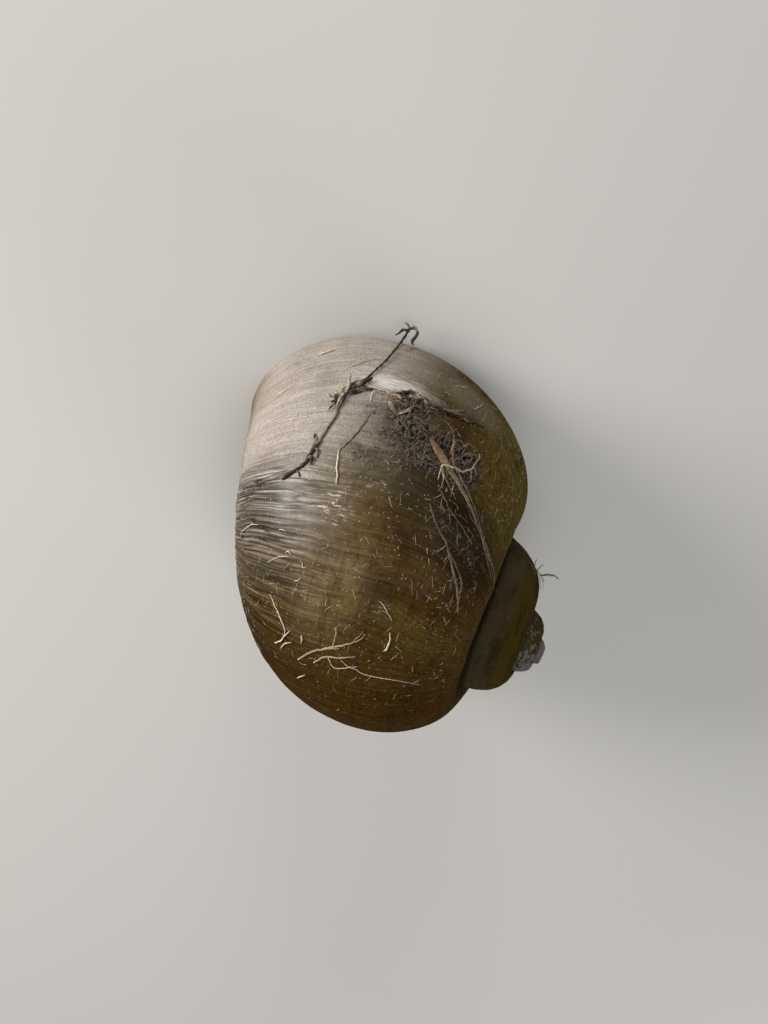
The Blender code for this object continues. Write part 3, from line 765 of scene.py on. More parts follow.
def lay_strands(recipe, routes):
    """Turns routes over the skin into tubes that lie along it. A route's place is its turn, around and lift, and
    its radius the half width. The tubes are flat where the flatness is under 1."""
    tube = recipe.sizes
    even = recipe.node("GeometryNodeResampleCurve", {}, {"Curve": routes, "Count": tube["Stops"]})
    route = recipe.node("GeometryNodeInputPosition")
    split = recipe.node("ShaderNodeSeparateXYZ", {}, {"Vector": route})
    wobble = noise(route * tube["Crook scale"], 1.0, 2.0) - 0.5
    wobble_too = noise(route * tube["Crook scale"] + 5.3, 1.0, 2.0) - 0.5
    kept = recipe.keep(even, "turn", split + wobble * tube["Crook"])
    kept = recipe.keep(kept, "around", split.other("Y") + wobble_too * tube["Crook"])
    kept = recipe.keep(kept, "lift", split.other("Z"))
    kept = recipe.keep(kept, "along", recipe.node("GeometryNodeSplineParameter"))
    kept = recipe.keep(kept, "tone", noise(route * 4.0 + 0.7, 1.0, 1.0))
    names = ("turn", "around", "lift")
    turn, around, lift = (recipe.node("GeometryNodeInputNamedAttribute", {}, {"Name": key}) for key in names)
    half = recipe.node("GeometryNodeInputRadius")
    height = relief(tube, turn, around) + lift + half * tube["Flatness"] * 0.8
    middle = shell_point(tube, turn, around, 1.0, height)
    up = (shell_point(tube, turn, around, 1.0, height + MM) - middle).unit()
    laid = recipe.moved(kept, middle)
    faced = recipe.node("GeometryNodeSetCurveNormal", {"mode": "FREE"}, {"Curve": laid, "Normal": up})
    circle = recipe.node("GeometryNodeCurvePrimitiveCircle", {}, {"Resolution": tube["Sides"], "Radius": 1.0})
    flat = {"Geometry": circle, "Scale": place(tube["Flatness"], 1.0, 1.0)}
    profile = recipe.node("GeometryNodeTransform", {}, flat)
    sockets = {"Curve": faced, "Profile Curve": profile, "Scale": half, "Fill Caps": True}
    body = recipe.node("GeometryNodeCurveToMesh", {}, sockets)
    knob = noise(recipe.node("GeometryNodeInputPosition") * 950.0, 1.0, 4.0, 0.65) - 0.5
    rough = {"Geometry": body, "Offset": recipe.node("GeometryNodeInputNormal") * (knob * tube["Knobs"])}
    body = recipe.node("GeometryNodeSetPosition", {}, rough)
    return recipe.node("GeometryNodeSetShadeSmooth", {}, {"Geometry": body, "Shade Smooth": True})


def drawn_strands():
    recipe = Recipe("lay drawn strands", {**TUBE, **STRAND})
    bent = recipe.node("GeometryNodeCurveSplineType", {"spline_type": "CATMULL_ROM"}, {"Curve": recipe.geometry})
    return recipe.end(lay_strands(recipe, bent))


DRAWN = drawn_strands()


def stick_on(name, strands, material, sizes):
    """Lays strands whose stops are written out."""
    routes = bpy.data.curves.new(name + "_routes", "CURVE")
    routes.dimensions = "3D"
    for strand in strands:
        spline = routes.splines.new("POLY")
        spline.points.add(len(strand) - 1)
        for point, (turn, around, lift, half) in zip(spline.points, strand):
            point.co = (math.radians(turn), math.radians(around), lift * MM, 1.0)
            point.radius = half * MM
    return DRAWN.bake(name, material, sizes, routes)


BARK_TONES = ((0.0, (0.050, 0.034, 0.022)), (0.19, (0.040, 0.027, 0.018)), (0.25, (0.27, 0.200, 0.135)),
              (0.42, (0.25, 0.180, 0.120)), (0.50, (0.040, 0.028, 0.020)), (1.0, (0.022, 0.016, 0.012)))
STRAW_TONES = ((0.0, (0.50, 0.42, 0.30)), (1.0, (0.38, 0.29, 0.18)))
LEAF_TONES = ((0.0, (0.17, 0.085, 0.040)), (0.06, (0.26, 0.150, 0.070)), (0.16, (0.38, 0.285, 0.160)),
              (0.42, (0.215, 0.160, 0.105)), (1.0, (0.150, 0.098, 0.066)))
ROOT_TONES = ((0.0, (0.10, 0.072, 0.050)), (1.0, (0.26, 0.175, 0.115)))
MAT_TONES = ((0.0, (0.070, 0.052, 0.040)), (0.6, (0.24, 0.185, 0.145)), (1.0, (0.50, 0.41, 0.33)))
bark = plant_finish("bark", BARK_TONES, (0.008, 0.006, 0.004), 0.9, 1500.0)
straw = plant_finish("straw", STRAW_TONES, (0.085, 0.052, 0.026), 0.75, 2600.0)
leaf = plant_finish("dead_leaf", LEAF_TONES, (0.060, 0.034, 0.018), 0.75)
root = plant_finish("root", ROOT_TONES, (0.018, 0.012, 0.008), 0.85)
mat_root = plant_finish("mat_root", MAT_TONES, (0.012, 0.009, 0.007), 0.9)

TWIG = (
    ((-56.8, -33, 0, .20), (-56.4, -32.1, 0, .36), (-54.9, -29.7, 0, .38), (-53.4, -26.7, 0, .32), (-51.6, -24.6, 0, .36),
     (-48.9, -24.0, 0, .40), (-47.4, -23.4, .1, .58), (-45.9, -22.5, .1, .34), (-42.6, -21.6, .1, .30),
     (-38.7, -20.4, .1, .31), (-36.3, -20.4, .1, .40), (-34.5, -20.1, .2, .56), (-32.1, -20.1, .3, .66),
     (-29.1, -18.9, .3, .50), (-27.0, -17.1, .2, .40), (-25.5, -15.9, .2, .30), (-21.0, -14.1, .3, .22),
     (-16.2, -12.6, .3, .22), (-11.1, -12.0, .4, .24), (-6.0, -11.3, .7, .28), (-3.0, -11.0, 1.4, .32),
     (-1.5, -10.6, 2.6, .36), (-0.5, -10.2, 3.9, .34)),
    ((-0.9, -10.4, 3.5, .30), (-0.4, -8.8, 4.2, .46), (-0.9, -7.4, 3.8, .34), (-2.2, -7.0, 2.6, .42), (-3.6, -7.6, 1.7, .40),
     (-4.6, -6.8, 1.4, .14)),
    ((-1.0, -10.6, 3.2, .30), (-1.6, -12.0, 3.4, .40), (-2.8, -12.6, 3.0, .30), (-3.8, -13.6, 2.4, .12)),
    ((-1.2, -10.0, 3.2, .24), (-0.2, -11.0, 4.4, .30), (-0.2, -12.4, 5.0, .12)),
    ((-33.2, -19.4, .2, .5), (-33.6, -20.8, .4, .70), (-34.1, -22.0, .4, .74), (-34.5, -23.0, .4, .44), (-34.6, -23.8, .3, .14)),
    ((-34.4, -22.2, .4, .3), (-33.6, -24.2, .8, .18), (-32.6, -25.2, .9, .06)),
    ((-34.8, -22.0, .4, .3), (-36.6, -22.8, .6, .22), (-37.6, -23.6, .6, .06)),
    ((-50.0, -24.6, .1, .3), (-51.2, -22.6, .3, .4), (-52.6, -22.2, .2, .14)),
    ((-31, -18, .4, .55), (-29.1, -16.4, .6, .62), (-27.0, -15.0, .5, .5), (-24.9, -13.6, .4, .3)),
    ((-32.0, -17.6, .4, .5), (-30.6, -15.0, .4, .36), (-29.8, -12.6, .3, .22), (-28.8, -10.0, .2, .12)),
    ((-48.0, -23.4, .1, .4), (-48.8, -21.6, .2, .22), (-50.5, -21.0, .1, .1)),
    ((-46.4, -23.0, .1, .4), (-45.0, -25.0, .2, .24), (-43.8, -25.6, .2, .1)),
    ((-54.2, -28.4, .0, .3), (-55.0, -26.4, .1, .14), (-55.9, -25.6, .1, .08)),
)
twig = stick_on("twig", TWIG, bark, {"Stops": 130, "Sides": 10, "Crook": 0.016, "Knobs": 0.00075})
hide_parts("litter_twig")

BLADE = (
    ((-38.0, 14.6, 1.0, .16), (-38.4, 15.6, 1.0, .56), (-39.6, 18.6, .8, .96), (-40.8, 22.2, .5, 1.06), (-42.3, 26.4, .3, .80),
     (-43.5, 30.3, .3, .64), (-45.9, 38.7, .2, .50), (-48.9, 47.1, .2, .36), (-51.3, 57.6, .2, .25), (-53.7, 66.6, .2, .20),
     (-54.6, 76.0, .2, .18), (-55.6, 83.0, .3, .09)),
    ((-36.2, 24.0, .8, .14), (-38.0, 24.4, .8, .26), (-39.8, 25.6, .7, .30), (-41.6, 29.5, .6, .22), (-44.0, 36.6, .5, .16),
     (-46.8, 44.0, .5, .14), (-50.6, 52.5, .5, .16), (-53.2, 60.5, .5, .18), (-52.9, 68.0, .4, .18), (-54.0, 76.0, .3, .12)),
    ((-38.6, 23.6, .8, .30), (-36.4, 23.2, .8, .34), (-34.0, 22.4, .7, .26), (-32.0, 20.6, .7, .17), (-31.0, 17.2, .6, .12),
     (-31.2, 14.2, .5, .05)),
    ((-38.8, 14.8, 1.2, .08), (-40.6, 18.0, 1.1, .14), (-42.2, 22.0, .8, .15), (-43.4, 26.6, .6, .13), (-44.8, 33.0, .5, .08)),
    ((-41.0, 21.5, .4, .3), (-44.4, 24.4, .6, .24), (-46.4, 28.6, .5, .16), (-48.0, 33.0, .3, .08)),
    ((-49.4, 48.0, .4, .14), (-52.8, 56.0, .5, .18), (-55.2, 64.0, .4, .16), (-56.0, 72.0, .3, .08)),
)
blade = stick_on("grass_blade", BLADE, leaf, {"Stops": 90, "Sides": 12, "Flatness": 0.22, "Crook": 0.012, "Knobs": 0.00012})
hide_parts("litter_grass_blade")

ROOTLET = (
    ((-53.0, 23.8, .1, .08), (-53.7, 24.9, .2, .22), (-55.5, 27.3, .2, .26), (-57.3, 30.3, .2, .26), (-58.8, 33.9, .1, .24),
     (-60.0, 37.2, .1, .26), (-63.6, 42.0, .1, .30), (-68.4, 49.2, .1, .30), (-73.0, 53.6, .1, .26), (-75.6, 56.0, .1, .10)),
    ((-60.6, 37.4, .3, .14), (-63.0, 43.4, .3, .20), (-66.4, 50.4, .3, .22), (-70.4, 52.6, .2, .20), (-75.2, 54.4, .2, .10)),
    ((-63.9, 33.9, .2, .06), (-62.2, 35.2, .3, .17), (-60.6, 36.6, .2, .14)),
    ((-55.5, 27.3, .2, .12), (-57.0, 26.0, .3, .10), (-58.4, 25.6, .2, .04)),
    ((-57.6, 31.0, .2, .12), (-56.0, 33.6, .3, .10), (-56.2, 36.4, .2, .05)),
    ((-62.6, 40.6, .2, .12), (-64.6, 39.4, .3, .10), (-66.5, 39.6, .2, .05)),
    ((-66.0, 45.6, .2, .12), (-69.0, 45.4, .3, .10), (-70.5, 46.8, .2, .05)),
)
rootlet = stick_on("rootlet", ROOTLET, root, {"Stops": 60, "Flatness": 0.6, "Crook": 0.020, "Knobs": 0.00014})
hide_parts("litter_rootlet")

LONG_STRAW = (
    ((-107.6, -8.0, 0, .08), (-107.1, -7.2, 0, .20), (-102.9, -2.4, .1, .24), (-99.0, 5.7, .1, .24), (-96.9, 11.4, .1, .20),
     (-93.9, 16.8, .2, .18), (-91.8, 18.2, .2, .06)),
    ((-98.7, 6.9, .2, .14), (-95.1, 6.9, .4, .12), (-92.1, 6.6, .3, .06)),
    ((-102.0, -1.0, .2, .12), (-100.8, 1.5, .3, .16), (-99.6, 5.2, .2, .16), (-98.4, 9.4, .2, .08)),
)
long_straw = stick_on("long_straw", LONG_STRAW, straw, {"Stops": 70, "Flatness": 0.5, "Crook": 0.014, "Knobs": 0.00030})
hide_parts("litter_long_straw")

SHORT_STRAW = (
    ((-106.4, -0.5, 0, .08), (-105.9, 0.3, 0, .20), (-102.6, 4.5, .1, .24), (-101.4, 10.8, .1, .20), (-99.6, 16.8, .1, .08)),
    ((-102.2, 11.0, .1, .12), (-103.6, 15.4, .2, .14), (-102.6, 18.8, .1, .06)),
    ((-95.1, 14.4, .1, .10), (-93.0, 15.8, .2, .12), (-91.0, 17.4, .1, .05)),
)
short_straw = stick_on("short_straw", SHORT_STRAW, straw, {"Stops": 60, "Flatness": 0.5, "Crook": 0.014, "Knobs": 0.00030})
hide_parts("litter_short_straw")

# Beside the five main strands lie smaller ones: the pale broken stub of the twig, flakes and roots along the
# ridge, curled rootlets round the blade, hair-thin fibres and a sprig on the spire.

STUB = (
    ((-33.0, -20.3, .4, .50), (-30.9, -19.2, .9, .42), (-27.6, -20.4, 1.2, .34), (-24.9, -21.6, 1.3, .22)),
    ((-31.2, -20.6, .8, .30), (-29.4, -22.4, 1.1, .22), (-28.6, -23.0, 1.2, .08)),
    ((-33.4, -20.8, .9, .26), (-33.0, -22.6, 1.1, .26), (-31.6, -23.8, 1.2, .08)),
    ((-34.0, -21.2, .9, .24), (-35.0, -23.4, 1.0, .22), (-35.2, -24.8, .9, .06)),
    ((-33.0, -19.8, 1.0, .30), (-34.6, -20.4, 1.0, .30), (-36.4, -20.6, .8, .12)),
)
stick_on("twig_stub", STUB, straw, {"Stops": 24, "Crook": 0.01, "Knobs": 0.00025})

STRIP = (
    ((-28.0, -15.8, .2, .20), (-28.4, -11.6, .3, .50), (-29.2, -6.4, .4, .62), (-30.0, -1.6, .4, .54), (-30.6, 1.6, .3, .20)),
    ((-28.8, -14.0, .2, .10), (-29.8, -9.0, .3, .16), (-30.8, -3.6, .3, .18), (-31.4, 0.6, .2, .08)),
)
stick_on("ridge_strip", STRIP, straw, {"Flatness": 0.22, "Crook": 0.03, "Crook scale": 40.0, "Knobs": 0.0004})

FLAKES = (
    ((-32.3, -4.8, .3, .12), (-33.0, -3.6, .5, .55), (-34.2, -2.0, .7, .62), (-35.6, 0.0, .5, .16)),
    ((-35.4, 0.6, .3, .10), (-34.6, 2.0, .6, .36), (-33.0, 3.4, .7, .42), (-30.6, 5.0, .6, .12)),
    ((-29.7, 8.3, .4, .30), (-28.2, 13.4, .6, .42), (-26.1, 17.6, .6, .34), (-24.0, 19.6, .7, .22), (-21.9, 21.0, .9, .08)),
    ((-27.0, 16.6, .4, .20), (-25.8, 19.2, .5, .22), (-24.4, 21.6, .5, .06)),
)
stick_on("ridge_flakes", FLAKES, leaf, {"Stops": 30, "Flatness": 0.2, "Crook": 0.03, "Knobs": 0.00025})

RIDGE_ROOTS = (
    ((-31.2, 21.3, .3, .08), (-31.8, 24.0, .4, .10), (-31.8, 27.9, .2, .04)),
    ((-26.9, 19.4, .1, .28), (-24.3, 25.2, .1, .18), (-20.9, 31.0, .0, .06)),
    ((-28.2, -3.0, .3, .16), (-28.0, -0.6, .6, .34), (-27.8, 1.4, .8, .46), (-28.2, 4.2, .8, .44),
     (-28.8, 9.0, .6, .44), (-28.4, 13.6, .5, .36), (-27.0, 18.0, .3, .26), (-25.6, 21.6, .2, .10)),
    ((-30.0, -0.6, .4, .24), (-29.4, 1.8, .9, .30), (-29.0, 5.0, 1.0, .28), (-28.6, 10.0, .7, .20)),
    ((-27.6, -1.6, .4, .24), (-27.0, 2.6, .8, .28), (-27.6, 7.0, .7, .22), (-27.4, 11.0, .4, .10)),
)
stick_on("ridge_roots", RIDGE_ROOTS, bark, {"Stops": 60, "Crook": 0.05, "Knobs": 0.0004})

CURLS = (
    ((-46.4, 23.6, .2, .08), (-44.6, 22.6, .6, .16), (-42.6, 22.8, 1.0, .18), (-42.0, 25.2, 1.3, .19), (-41.4, 28.2, 1.3, .20),
     (-39.9, 30.8, 1.0, .20), (-37.8, 33.0, .9, .20), (-34.9, 33.8, .9, .19), (-32.4, 34.0, 1.0, .16), (-31.0, 33.6, 1.0, .06)),
    ((-37.8, 32.6, .8, .14), (-38.8, 34.2, .5, .15), (-40.4, 35.9, .2, .06)),
    ((-36.4, 33.4, .6, .12), (-36.9, 35.4, .5, .12), (-38.0, 36.8, .2, .05)),
    ((-43.6, 22.8, .6, .12), (-45.4, 24.8, .5, .12), (-47.0, 25.8, .1, .05)),
)
stick_on("curled_rootlets", CURLS, straw, {"Stops": 60, "Crook": 0.030, "Crook scale": 18.0})

DARK_CURLS = (
    ((-36.4, 24.9, .4, .14), (-34.8, 26.4, .9, .20), (-32.4, 27.6, 1.1, .20), (-31.4, 30.3, 1.0, .18), (-32.1, 32.7, .6, .08)),
    ((-37.6, 26.2, .4, .14), (-36.0, 28.2, .8, .20), (-34.2, 29.9, 1.1, .20), (-33.4, 32.4, 1.0, .17), (-33.3, 35.0, .6, .08)),
    ((-38.8, 28.0, .4, .12), (-37.0, 30.6, .8, .17), (-35.0, 31.4, 1.0, .16), (-34.8, 29.2, .9, .14), (-36.2, 28.2, .6, .06)),
    ((-35.4, 23.0, .4, .12), (-33.2, 24.6, .8, .16), (-33.6, 27.2, .8, .16), (-35.6, 27.8, .6, .08)),
    ((-39.4, 30.8, .3, .12), (-37.6, 28.6, .6, .16), (-38.6, 26.4, .8, .14), (-40.2, 25.4, .5, .06)),
)
stick_on("dark_curls", DARK_CURLS, root, {"Stops": 50, "Crook": 0.045, "Crook scale": 20.0, "Knobs": 0.00012})

FROND = (
    ((-48.6, 25.6, .1, .10), (-48.9, 26.4, .2, .14), (-50.7, 30.9, .2, .14), (-52.2, 36.0, .2, .12), (-53.4, 41.4, .2, .10),
     (-54.3, 47.5, .1, .04)),
    ((-49.0, 27.4, .1, .08), (-51.4, 28.0, .2, .09), (-53.4, 29.4, .1, .04)),
    ((-50.0, 29.6, .1, .08), (-49.0, 32.4, .2, .09), (-49.0, 35.8, .1, .04)),
    ((-51.0, 32.0, .1, .08), (-53.0, 33.4, .2, .09), (-54.6, 35.6, .1, .04)),
    ((-51.8, 34.6, .1, .08), (-50.8, 38.2, .2, .09), (-51.0, 42.0, .1, .04)),
    ((-52.4, 37.2, .1, .08), (-54.4, 38.8, .2, .09), (-56.0, 41.4, .1, .04)),
    ((-53.0, 40.0, .1, .08), (-52.0, 43.6, .2, .08), (-52.4, 47.0, .1, .04)),
    ((-47.0, 38.0, .2, .08), (-49.0, 44.0, .2, .10), (-50.0, 50.6, .1, .04)),
    ((-45.0, 40.0, .2, .07), (-46.0, 46.0, .2, .09), (-48.6, 52.6, .1, .04)),
    ((-36.6, -8.4, .1, .05), (-40.2, -9.2, .1, .12), (-43.2, -10.5, .1, .14), (-46.2, -12.6, .1, .15), (-48.0, -13.8, .1, .06)),
    ((-42.0, -10.0, .1, .08), (-41.6, -7.4, .2, .10), (-42.4, -4.8, .1, .04)),
)
stick_on("rootlet_frond", FROND, root, {"Stops": 20, "Sides": 6, "Crook": 0.03})

THREADS = (
    ((-102.3, 5.7, .2, .07), (-103.8, 7.2, .3, .08), (-105.3, 9.0, .3, .08), (-104.7, 12.9, .2, .08), (-103.8, 16.5, .1, .08),
     (-105, 22.5, .1, .07), (-105, 30.0, .1, .07), (-105, 38.7, .1, .06), (-105.9, 49.5, .0, .04)),
    ((-89.1, -26.0, .0, .05), (-93.0, -21.0, .1, .12), (-98.0, -16.0, .1, .14), (-101.0, -15.4, .1, .05)),
    ((-105.2, -21.0, .1, .08), (-103.0, -17.0, .2, .18), (-99.6, -14.4, .2, .14), (-98.1, -13.0, .1, .06)),
    ((-106.2, -17.0, .1, .08), (-103.4, -14.8, .2, .16), (-101.6, -11.6, .1, .06)),
    ((-100.8, -6.6, .1, .08), (-99.2, -6.6, .2, .2), (-98.1, -7.2, .1, .08)),
    ((-116.4, -8.4, .1, .06), (-114.4, -6.0, .2, .15), (-112.8, -3.9, .1, .06)),
    ((-89.1, 27.6, .1, .06), (-91.6, 28.4, .2, .14), (-94.2, 28.2, .1, .2), (-95.4, 27.4, .1, .08)),
    ((-47.4, -13.9, .1, .08), (-49.4, -13.4, .2, .15), (-53.1, -11.7, .2, .16), (-56.1, -10.2, .2, .14), (-57.0, -9.7, .1, .06)),
    ((-27.0, -54.9, .1, .05), (-25.4, -50.4, .2, .09), (-24.0, -45.6, .1, .05)),
    ((-21.9, -27.0, .1, .05), (-18.6, -22.0, .3, .10), (-15.3, -16.8, .1, .05)),
    ((-19.0, -24.0, .1, .05), (-16.4, -20.0, .3, .09), (-14.8, -14.0, .1, .04)),
    ((-34.0, -10.0, .1, .05), (-31.0, -10.6, .3, .12), (-28.6, -9.4, .1, .05)),
    ((-73.4, -55.0, .1, .05), (-71.6, -50.0, .2, .11), (-70.4, -46.0, .2, .11), (-69.8, -41.0, .1, .05)),
    ((-80.0, -30.0, .1, .05), (-78.0, -25.0, .2, .10), (-76.8, -20.0, .1, .05)),
    ((-81.3, 19.8, .1, .05), (-83.0, 22.6, .2, .12), (-85.5, 26.7, .1, .06)),
    ((-70.6, -28.0, .1, .05), (-70.2, -26.4, .2, .10), (-70.6, -24.6, .1, .05)),
    ((-76.4, -22.0, .1, .05), (-75.8, -20.8, .2, .12), (-76.4, -19.0, .1, .05)),
    ((-77.4, -13.6, .1, .05), (-78.9, -12.6, .2, .11), (-78.6, -11.2, .1, .05)),
    ((-83.0, -15.0, .1, .05), (-82.7, -13.4, .1, .09), (-81.6, -12.2, .1, .05)),
    ((-10.9, -41.0, .1, .06), (-10.6, -39.2, .2, .20), (-10.2, -37.4, .2, .15), (-9.8, -35.8, .2, .22), (-9.3, -34.2, .1, .06)),
    ((-13.6, 14.0, .1, .05), (-10.8, 16.8, .2, .11), (-8.0, 18.4, .1, .05)),
    ((-17.0, 24.4, .1, .05), (-13.4, 26.0, .2, .11), (-10.6, 26.4, .1, .05)),
)
FIBRE_TONES = ((0.0, (0.72, 0.66, 0.54)), (1.0, (0.64, 0.56, 0.43)))
fibre = plant_finish("pale_fibre", FIBRE_TONES, (0.34, 0.26, 0.17), 0.7, 2600.0)
stick_on("thin_fibres", THREADS, fibre, {"Stops": 30, "Sides": 6, "Crook": 0.02})

SPRIG = (
    ((-366.4, 36.0, .1, .14), (-366.5, 41.5, .5, .20), (-365.0, 50.0, .9, .20), (-361.0, 58.0, 1.2, .16), (-357.0, 64.0, 1.4, .12)),
    ((-366.0, 43.0, .4, .14), (-361.0, 40.5, 1.1, .16), (-356.5, 39.0, 1.7, .07)),
    ((-365.6, 47.0, .7, .14), (-360.0, 46.0, 1.6, .15), (-354.0, 47.0, 2.6, .07)),
    ((-363.0, 54.0, 1.0, .20), (-357.0, 55.5, 2.3, .28), (-351.0, 58.0, 3.9, .30), (-347.0, 60.0, 5.0, .26), (-345.0, 62.0, 5.6, .08)),
    ((-366.8, 38.0, .2, .12), (-371.5, 41.0, .8, .14), (-375.0, 45.0, 1.0, .06)),
    ((-364.4, 51.0, .9, .12), (-370.0, 56.0, 1.0, .14), (-374.5, 62.0, .9, .06)),
    ((-362.4, 56.0, 1.1, .12), (-365.0, 63.0, 1.2, .13), (-368.0, 69.0, 1.0, .06)),
)
SPRIG_TONES = ((0.0, (0.040, 0.045, 0.020)), (0.6, (0.20, 0.21, 0.12)), (1.0, (0.42, 0.42, 0.28)))
green = plant_finish("green_sprig", SPRIG_TONES, (0.050, 0.055, 0.028), 0.7)
stick_on("spire_sprig", SPRIG, green, {"Stops": 30, "Sides": 6, "Flatness": 0.5, "Crook": 0.06})

# The finest litter is too many to place by hand: hairs and dust on the whole back, a mat of roots in the mud,
# and crumbs of dried mud. They are scattered over the skin, thick where the mud is.


def scatter(recipe, middle, half, density):
    """Points strewn over a part of the skin. Until they are laid down, their place is their turn and around."""
    spans = {"Vertices X": 140, "Vertices Y": 140, "Size X": 2 * half[0], "Size Y": 2 * half[1]}
    sheet = recipe.node("GeometryNodeMeshGrid", {}, spans)
    moved = recipe.node("GeometryNodeTransform", {}, {"Geometry": sheet, "Translation": (*middle, 0.0)})
    sockets = {"Mesh": moved, "Density": density, "Seed": recipe.sizes["Seed"]}
    return recipe.node("GeometryNodeDistributePointsOnFaces", {}, sockets)


def random_value(recipe, low, high, seed):
    """An even random number, or a random vector where low and high are vectors."""
    kind = "FLOAT_VECTOR" if isinstance(low, tuple) else "FLOAT"
    return recipe.node("FunctionNodeRandomValue", {"data_type": kind}, {"Min": low, "Max": high, "Seed": seed})


def where_to_strew(recipe):
    """How thickly to strew over the skin: in the mud, or all over the back where the muddy input is 0."""
    tube = recipe.sizes
    where = recipe.node("ShaderNodeSeparateXYZ", {}, {"Vector": recipe.node("GeometryNodeInputPosition")})
    turn, around = where, where.other("Y")
    mud = mud_cover(tube, turn, around)
    bare = turn.ramp(math.radians(-138), math.radians(-78)) * (1 - mud * 0.5)
    return turn, around, mud, (mud * tube["Muddy"] + bare * (1 - tube["Muddy"])) * tube["Density"]


HAIRS = {
    "Muddy": 0.0, "Seed": 4, "Density": 165.0, "Shortest": 0.008, "Longest": 0.075, "Rise": 0.00010,
    "Half width": 0.000030, "Stops": 6, "Sides": 4, "Crook": 0.03, "Crook scale": 24.0,
}
ROOT_MAT = {
    "Muddy": 1.0, "Seed": 9, "Density": 1700.0, "Shortest": 0.012, "Longest": 0.085, "Rise": 0.0011,
    "Half width": 0.000048, "Stops": 9, "Sides": 4, "Crook": 0.06, "Crook scale": 44.0,
}


def strewn_hairs():
    """Short bent strands scattered over the back, each with its own length, bearing and thickness."""
    recipe = Recipe("strew hairs", {**TUBE, **STRAND, **HAIRS})
    tube = recipe.sizes
    turn, around, mud, amount = where_to_strew(recipe)
    points = scatter(recipe, (-1.3, -0.1), (1.3, 1.25), amount)
    line = recipe.node("GeometryNodeCurvePrimitiveLine", {}, {"Start": (-0.5, 0, 0), "End": (0.5, 0, 0)})
    fine = recipe.node("GeometryNodeResampleCurve", {}, {"Curve": line, "Count": 9})
    spin = random_value(recipe, (0.0, 0.0, -math.pi), (0.0, 0.0, math.pi), 1)
    long = random_value(recipe, 0.0, 1.0, 2) ** 2 * (tube["Longest"] - tube["Shortest"]) + tube["Shortest"]
    sockets = {"Points": points, "Instance": fine, "Rotation": spin, "Scale": place(long, long, long)}
    hairs = recipe.node("GeometryNodeInstanceOnPoints", {}, sockets)
    hairs = recipe.node("GeometryNodeRealizeInstances", {}, {"Geometry": hairs})
    bow = recipe.node("GeometryNodeSplineParameter")
    bow = bow * (1 - bow) * 4.0
    raised = {"Geometry": hairs, "Offset": place(0.0, 0.0, bow * tube["Rise"])}
    hairs = recipe.node("GeometryNodeSetPosition", {}, raised)
    thick = noise(recipe.node("GeometryNodeInputPosition") * 5.0 + 0.4, 1.0, 1.0) * tube["Half width"] * 2.0
    sockets = {"Curve": hairs, "Radius": bow.most(0.3).sqrt() * thick}
    hairs = recipe.node("GeometryNodeSetCurveRadius", {}, sockets)
    return recipe.end(lay_strands(recipe, hairs))


STREWN = strewn_hairs()
STREWN.bake("stray_hairs", fibre)
STREWN.bake("root_mat", mat_root, ROOT_MAT)


def crumb_finish(name, dark, pale):
    """Dry crumbs, each of its own shade."""
    material = bpy.data.materials.new(name)
    material.use_nodes = True
    tree = material.node_tree
    shader = tree.nodes["Principled BSDF"]
    where = add_node(tree, "ShaderNodeTexCoord", {}, {}).other("Object")
    ramp = {"stops": ((0.35, dark), (0.65, pale))}
    colour = add_node(tree, "ShaderNodeValToRGB", ramp, {"Fac": noise(where, 900.0, 3.0)})
    tree.links.new(colour.socket, shader.inputs["Base Color"])
    shader.inputs["Roughness"].default_value = 0.95
    return material


MUD_CRUMBS = {"Muddy": 1.0, "Seed": 12, "Density": 6500.0, "Smallest": 0.00007, "Largest": 0.00046}
PALE_CRUMBS = {"Muddy": 0.0, "Seed": 21, "Density": 210.0, "Smallest": 0.00004, "Largest": 0.00018}


def strewn_crumbs():
    """Lumps of twenty faces, pressed flat and turned at random, half sunk in the skin."""
    recipe = Recipe("strew crumbs", {**TUBE, **MUD_CRUMBS})
    tube = recipe.sizes
    turn, around, mud, amount = where_to_strew(recipe)
    points = scatter(recipe, (-1.3, -0.1), (1.3, 1.25), amount)
    height = relief(tube, turn, around) + mud * 0.0002
    laid = recipe.moved(points, shell_point(tube, turn, around, 1.0, height))
    lump = recipe.node("GeometryNodeMeshIcoSphere", {}, {"Radius": 1.0, "Subdivisions": 1})
    spin = random_value(recipe, (-math.pi,) * 3, (math.pi,) * 3, 3)
    size = random_value(recipe, 0.0, 1.0, 4) ** 3 * (tube["Largest"] - tube["Smallest"]) + tube["Smallest"]
    squash = random_value(recipe, (0.5, 0.35, 0.35), (1.5, 0.9, 0.8), 5)
    sockets = {"Points": laid, "Instance": lump, "Rotation": spin, "Scale": squash * size}
    return recipe.end(recipe.node("GeometryNodeInstanceOnPoints", {}, sockets))


CRUMBS = strewn_crumbs()
CRUMBS.bake("mud_crumbs", crumb_finish("dried_mud", (0.006, 0.004, 0.003), (0.125, 0.096, 0.074)))
CRUMBS.bake("pale_crumbs", crumb_finish("dried_algae", (0.16, 0.12, 0.07), (0.46, 0.40, 0.29)), PALE_CRUMBS)

# A plain pale floor, soft studio light and the camera. The light comes low from where the sky lit the shell.

def finish(name, colour, roughness):
    material = bpy.data.materials.new(name)
    material.use_nodes = True
    shader = material.node_tree.nodes["Principled BSDF"]
    shader.inputs["Base Color"].default_value = (*colour, 1.0)
    shader.inputs["Roughness"].default_value = roughness
    return material


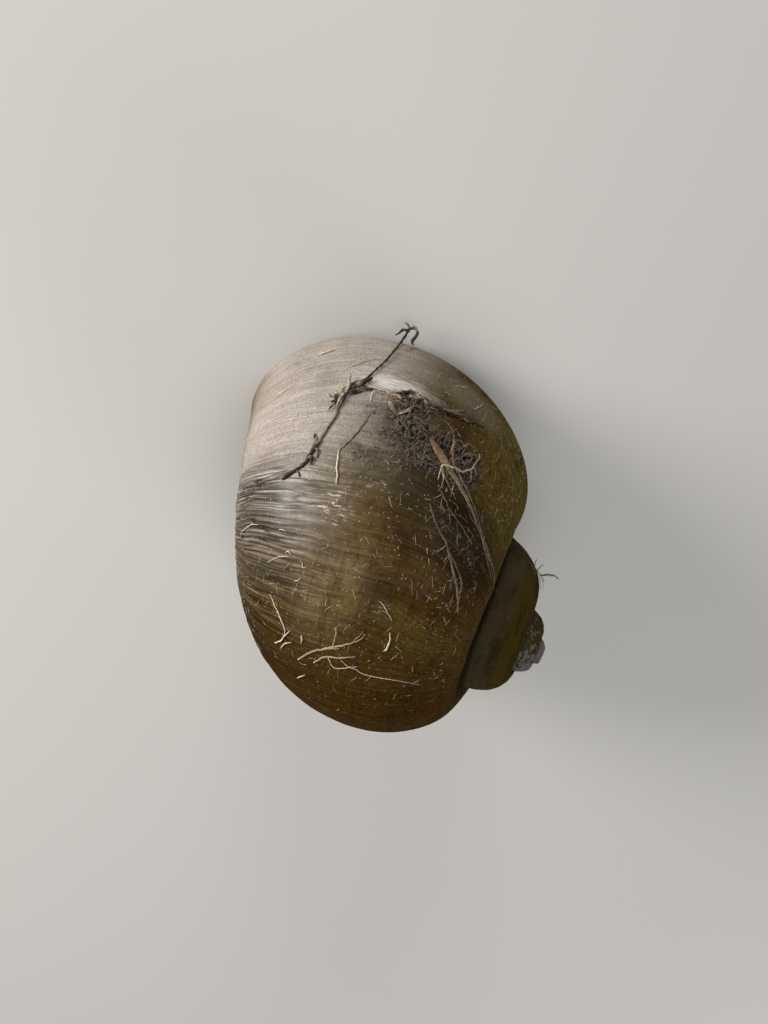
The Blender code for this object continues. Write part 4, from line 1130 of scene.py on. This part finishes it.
floor_mesh = bpy.data.meshes.new("floor")
FLOOR_HALF = 3.0
corners = [(-FLOOR_HALF, -FLOOR_HALF, 0), (FLOOR_HALF, -FLOOR_HALF, 0), (FLOOR_HALF, FLOOR_HALF, 0), (-FLOOR_HALF, FLOOR_HALF, 0)]
floor_mesh.from_pydata(corners, [], [(0, 1, 2, 3)])
floor_mesh.materials.append(finish("floor", (0.62, 0.61, 0.59), 0.9))
floor = bpy.data.objects.new("floor", floor_mesh)
bpy.context.scene.collection.objects.link(floor)


def soft_light(name, towards, distance, size, watts, colour):
    """A round lamp that shines on the shell from a direction."""
    lamp = bpy.data.lights.new(name, "AREA")
    lamp.shape = "DISK"
    lamp.size = size
    lamp.energy = watts
    lamp.color = colour
    holder = bpy.data.objects.new(name, lamp)
    direction = Vector(towards).normalized()
    holder.location = direction * distance
    holder.rotation_mode = "QUATERNION"
    holder.rotation_quaternion = direction.to_track_quat("Z", "Y")
    bpy.context.scene.collection.objects.link(holder)
    return holder


soft_light("front_light", (0.74, -0.64, 0.24), 0.8, 0.38, 9.0, (1.0, 0.97, 0.93))
soft_light("low_light", (-0.25, -0.95, 0.20), 0.9, 0.34, 3.6, (1.0, 0.98, 0.95))
soft_light("top_light", (0.1, 0.3, 1.0), 1.2, 1.2, 6.5, (1.0, 0.99, 0.97)).visible_glossy = False
soft_light("back_light", (-0.35, 0.9, 0.32), 1.0, 0.5, 3.0, (1.0, 0.99, 0.97)).visible_glossy = False
world = bpy.data.worlds.new("studio")
world.use_nodes = True
world.node_tree.nodes["Background"].inputs["Color"].default_value = (0.85, 0.85, 0.84, 1)
world.node_tree.nodes["Background"].inputs["Strength"].default_value = 0.10
bpy.context.scene.world = world
bpy.context.scene.view_settings.view_transform = "Standard"

LOOK = Vector((-0.0164, 0.4805, -0.8768)).normalized()
IMAGE_UP = Vector((-0.2529, -0.8504, -0.4613)).normalized()
CAMERA_PLACE = (0.00232, -0.10445, 0.19720)
FOCAL_LENGTH = 27.04
right = LOOK.cross(IMAGE_UP).normalized()
up = right.cross(LOOK)
lens = bpy.data.cameras.new("camera")
lens.lens = FOCAL_LENGTH
lens.sensor_width = 36.0
lens.clip_start = 0.01
camera = bpy.data.objects.new("camera", lens)
camera.matrix_world = Matrix.Translation(CAMERA_PLACE) @ Matrix((right, up, -LOOK)).transposed().to_4x4()
bpy.context.scene.collection.objects.link(camera)
bpy.context.scene.camera = camera
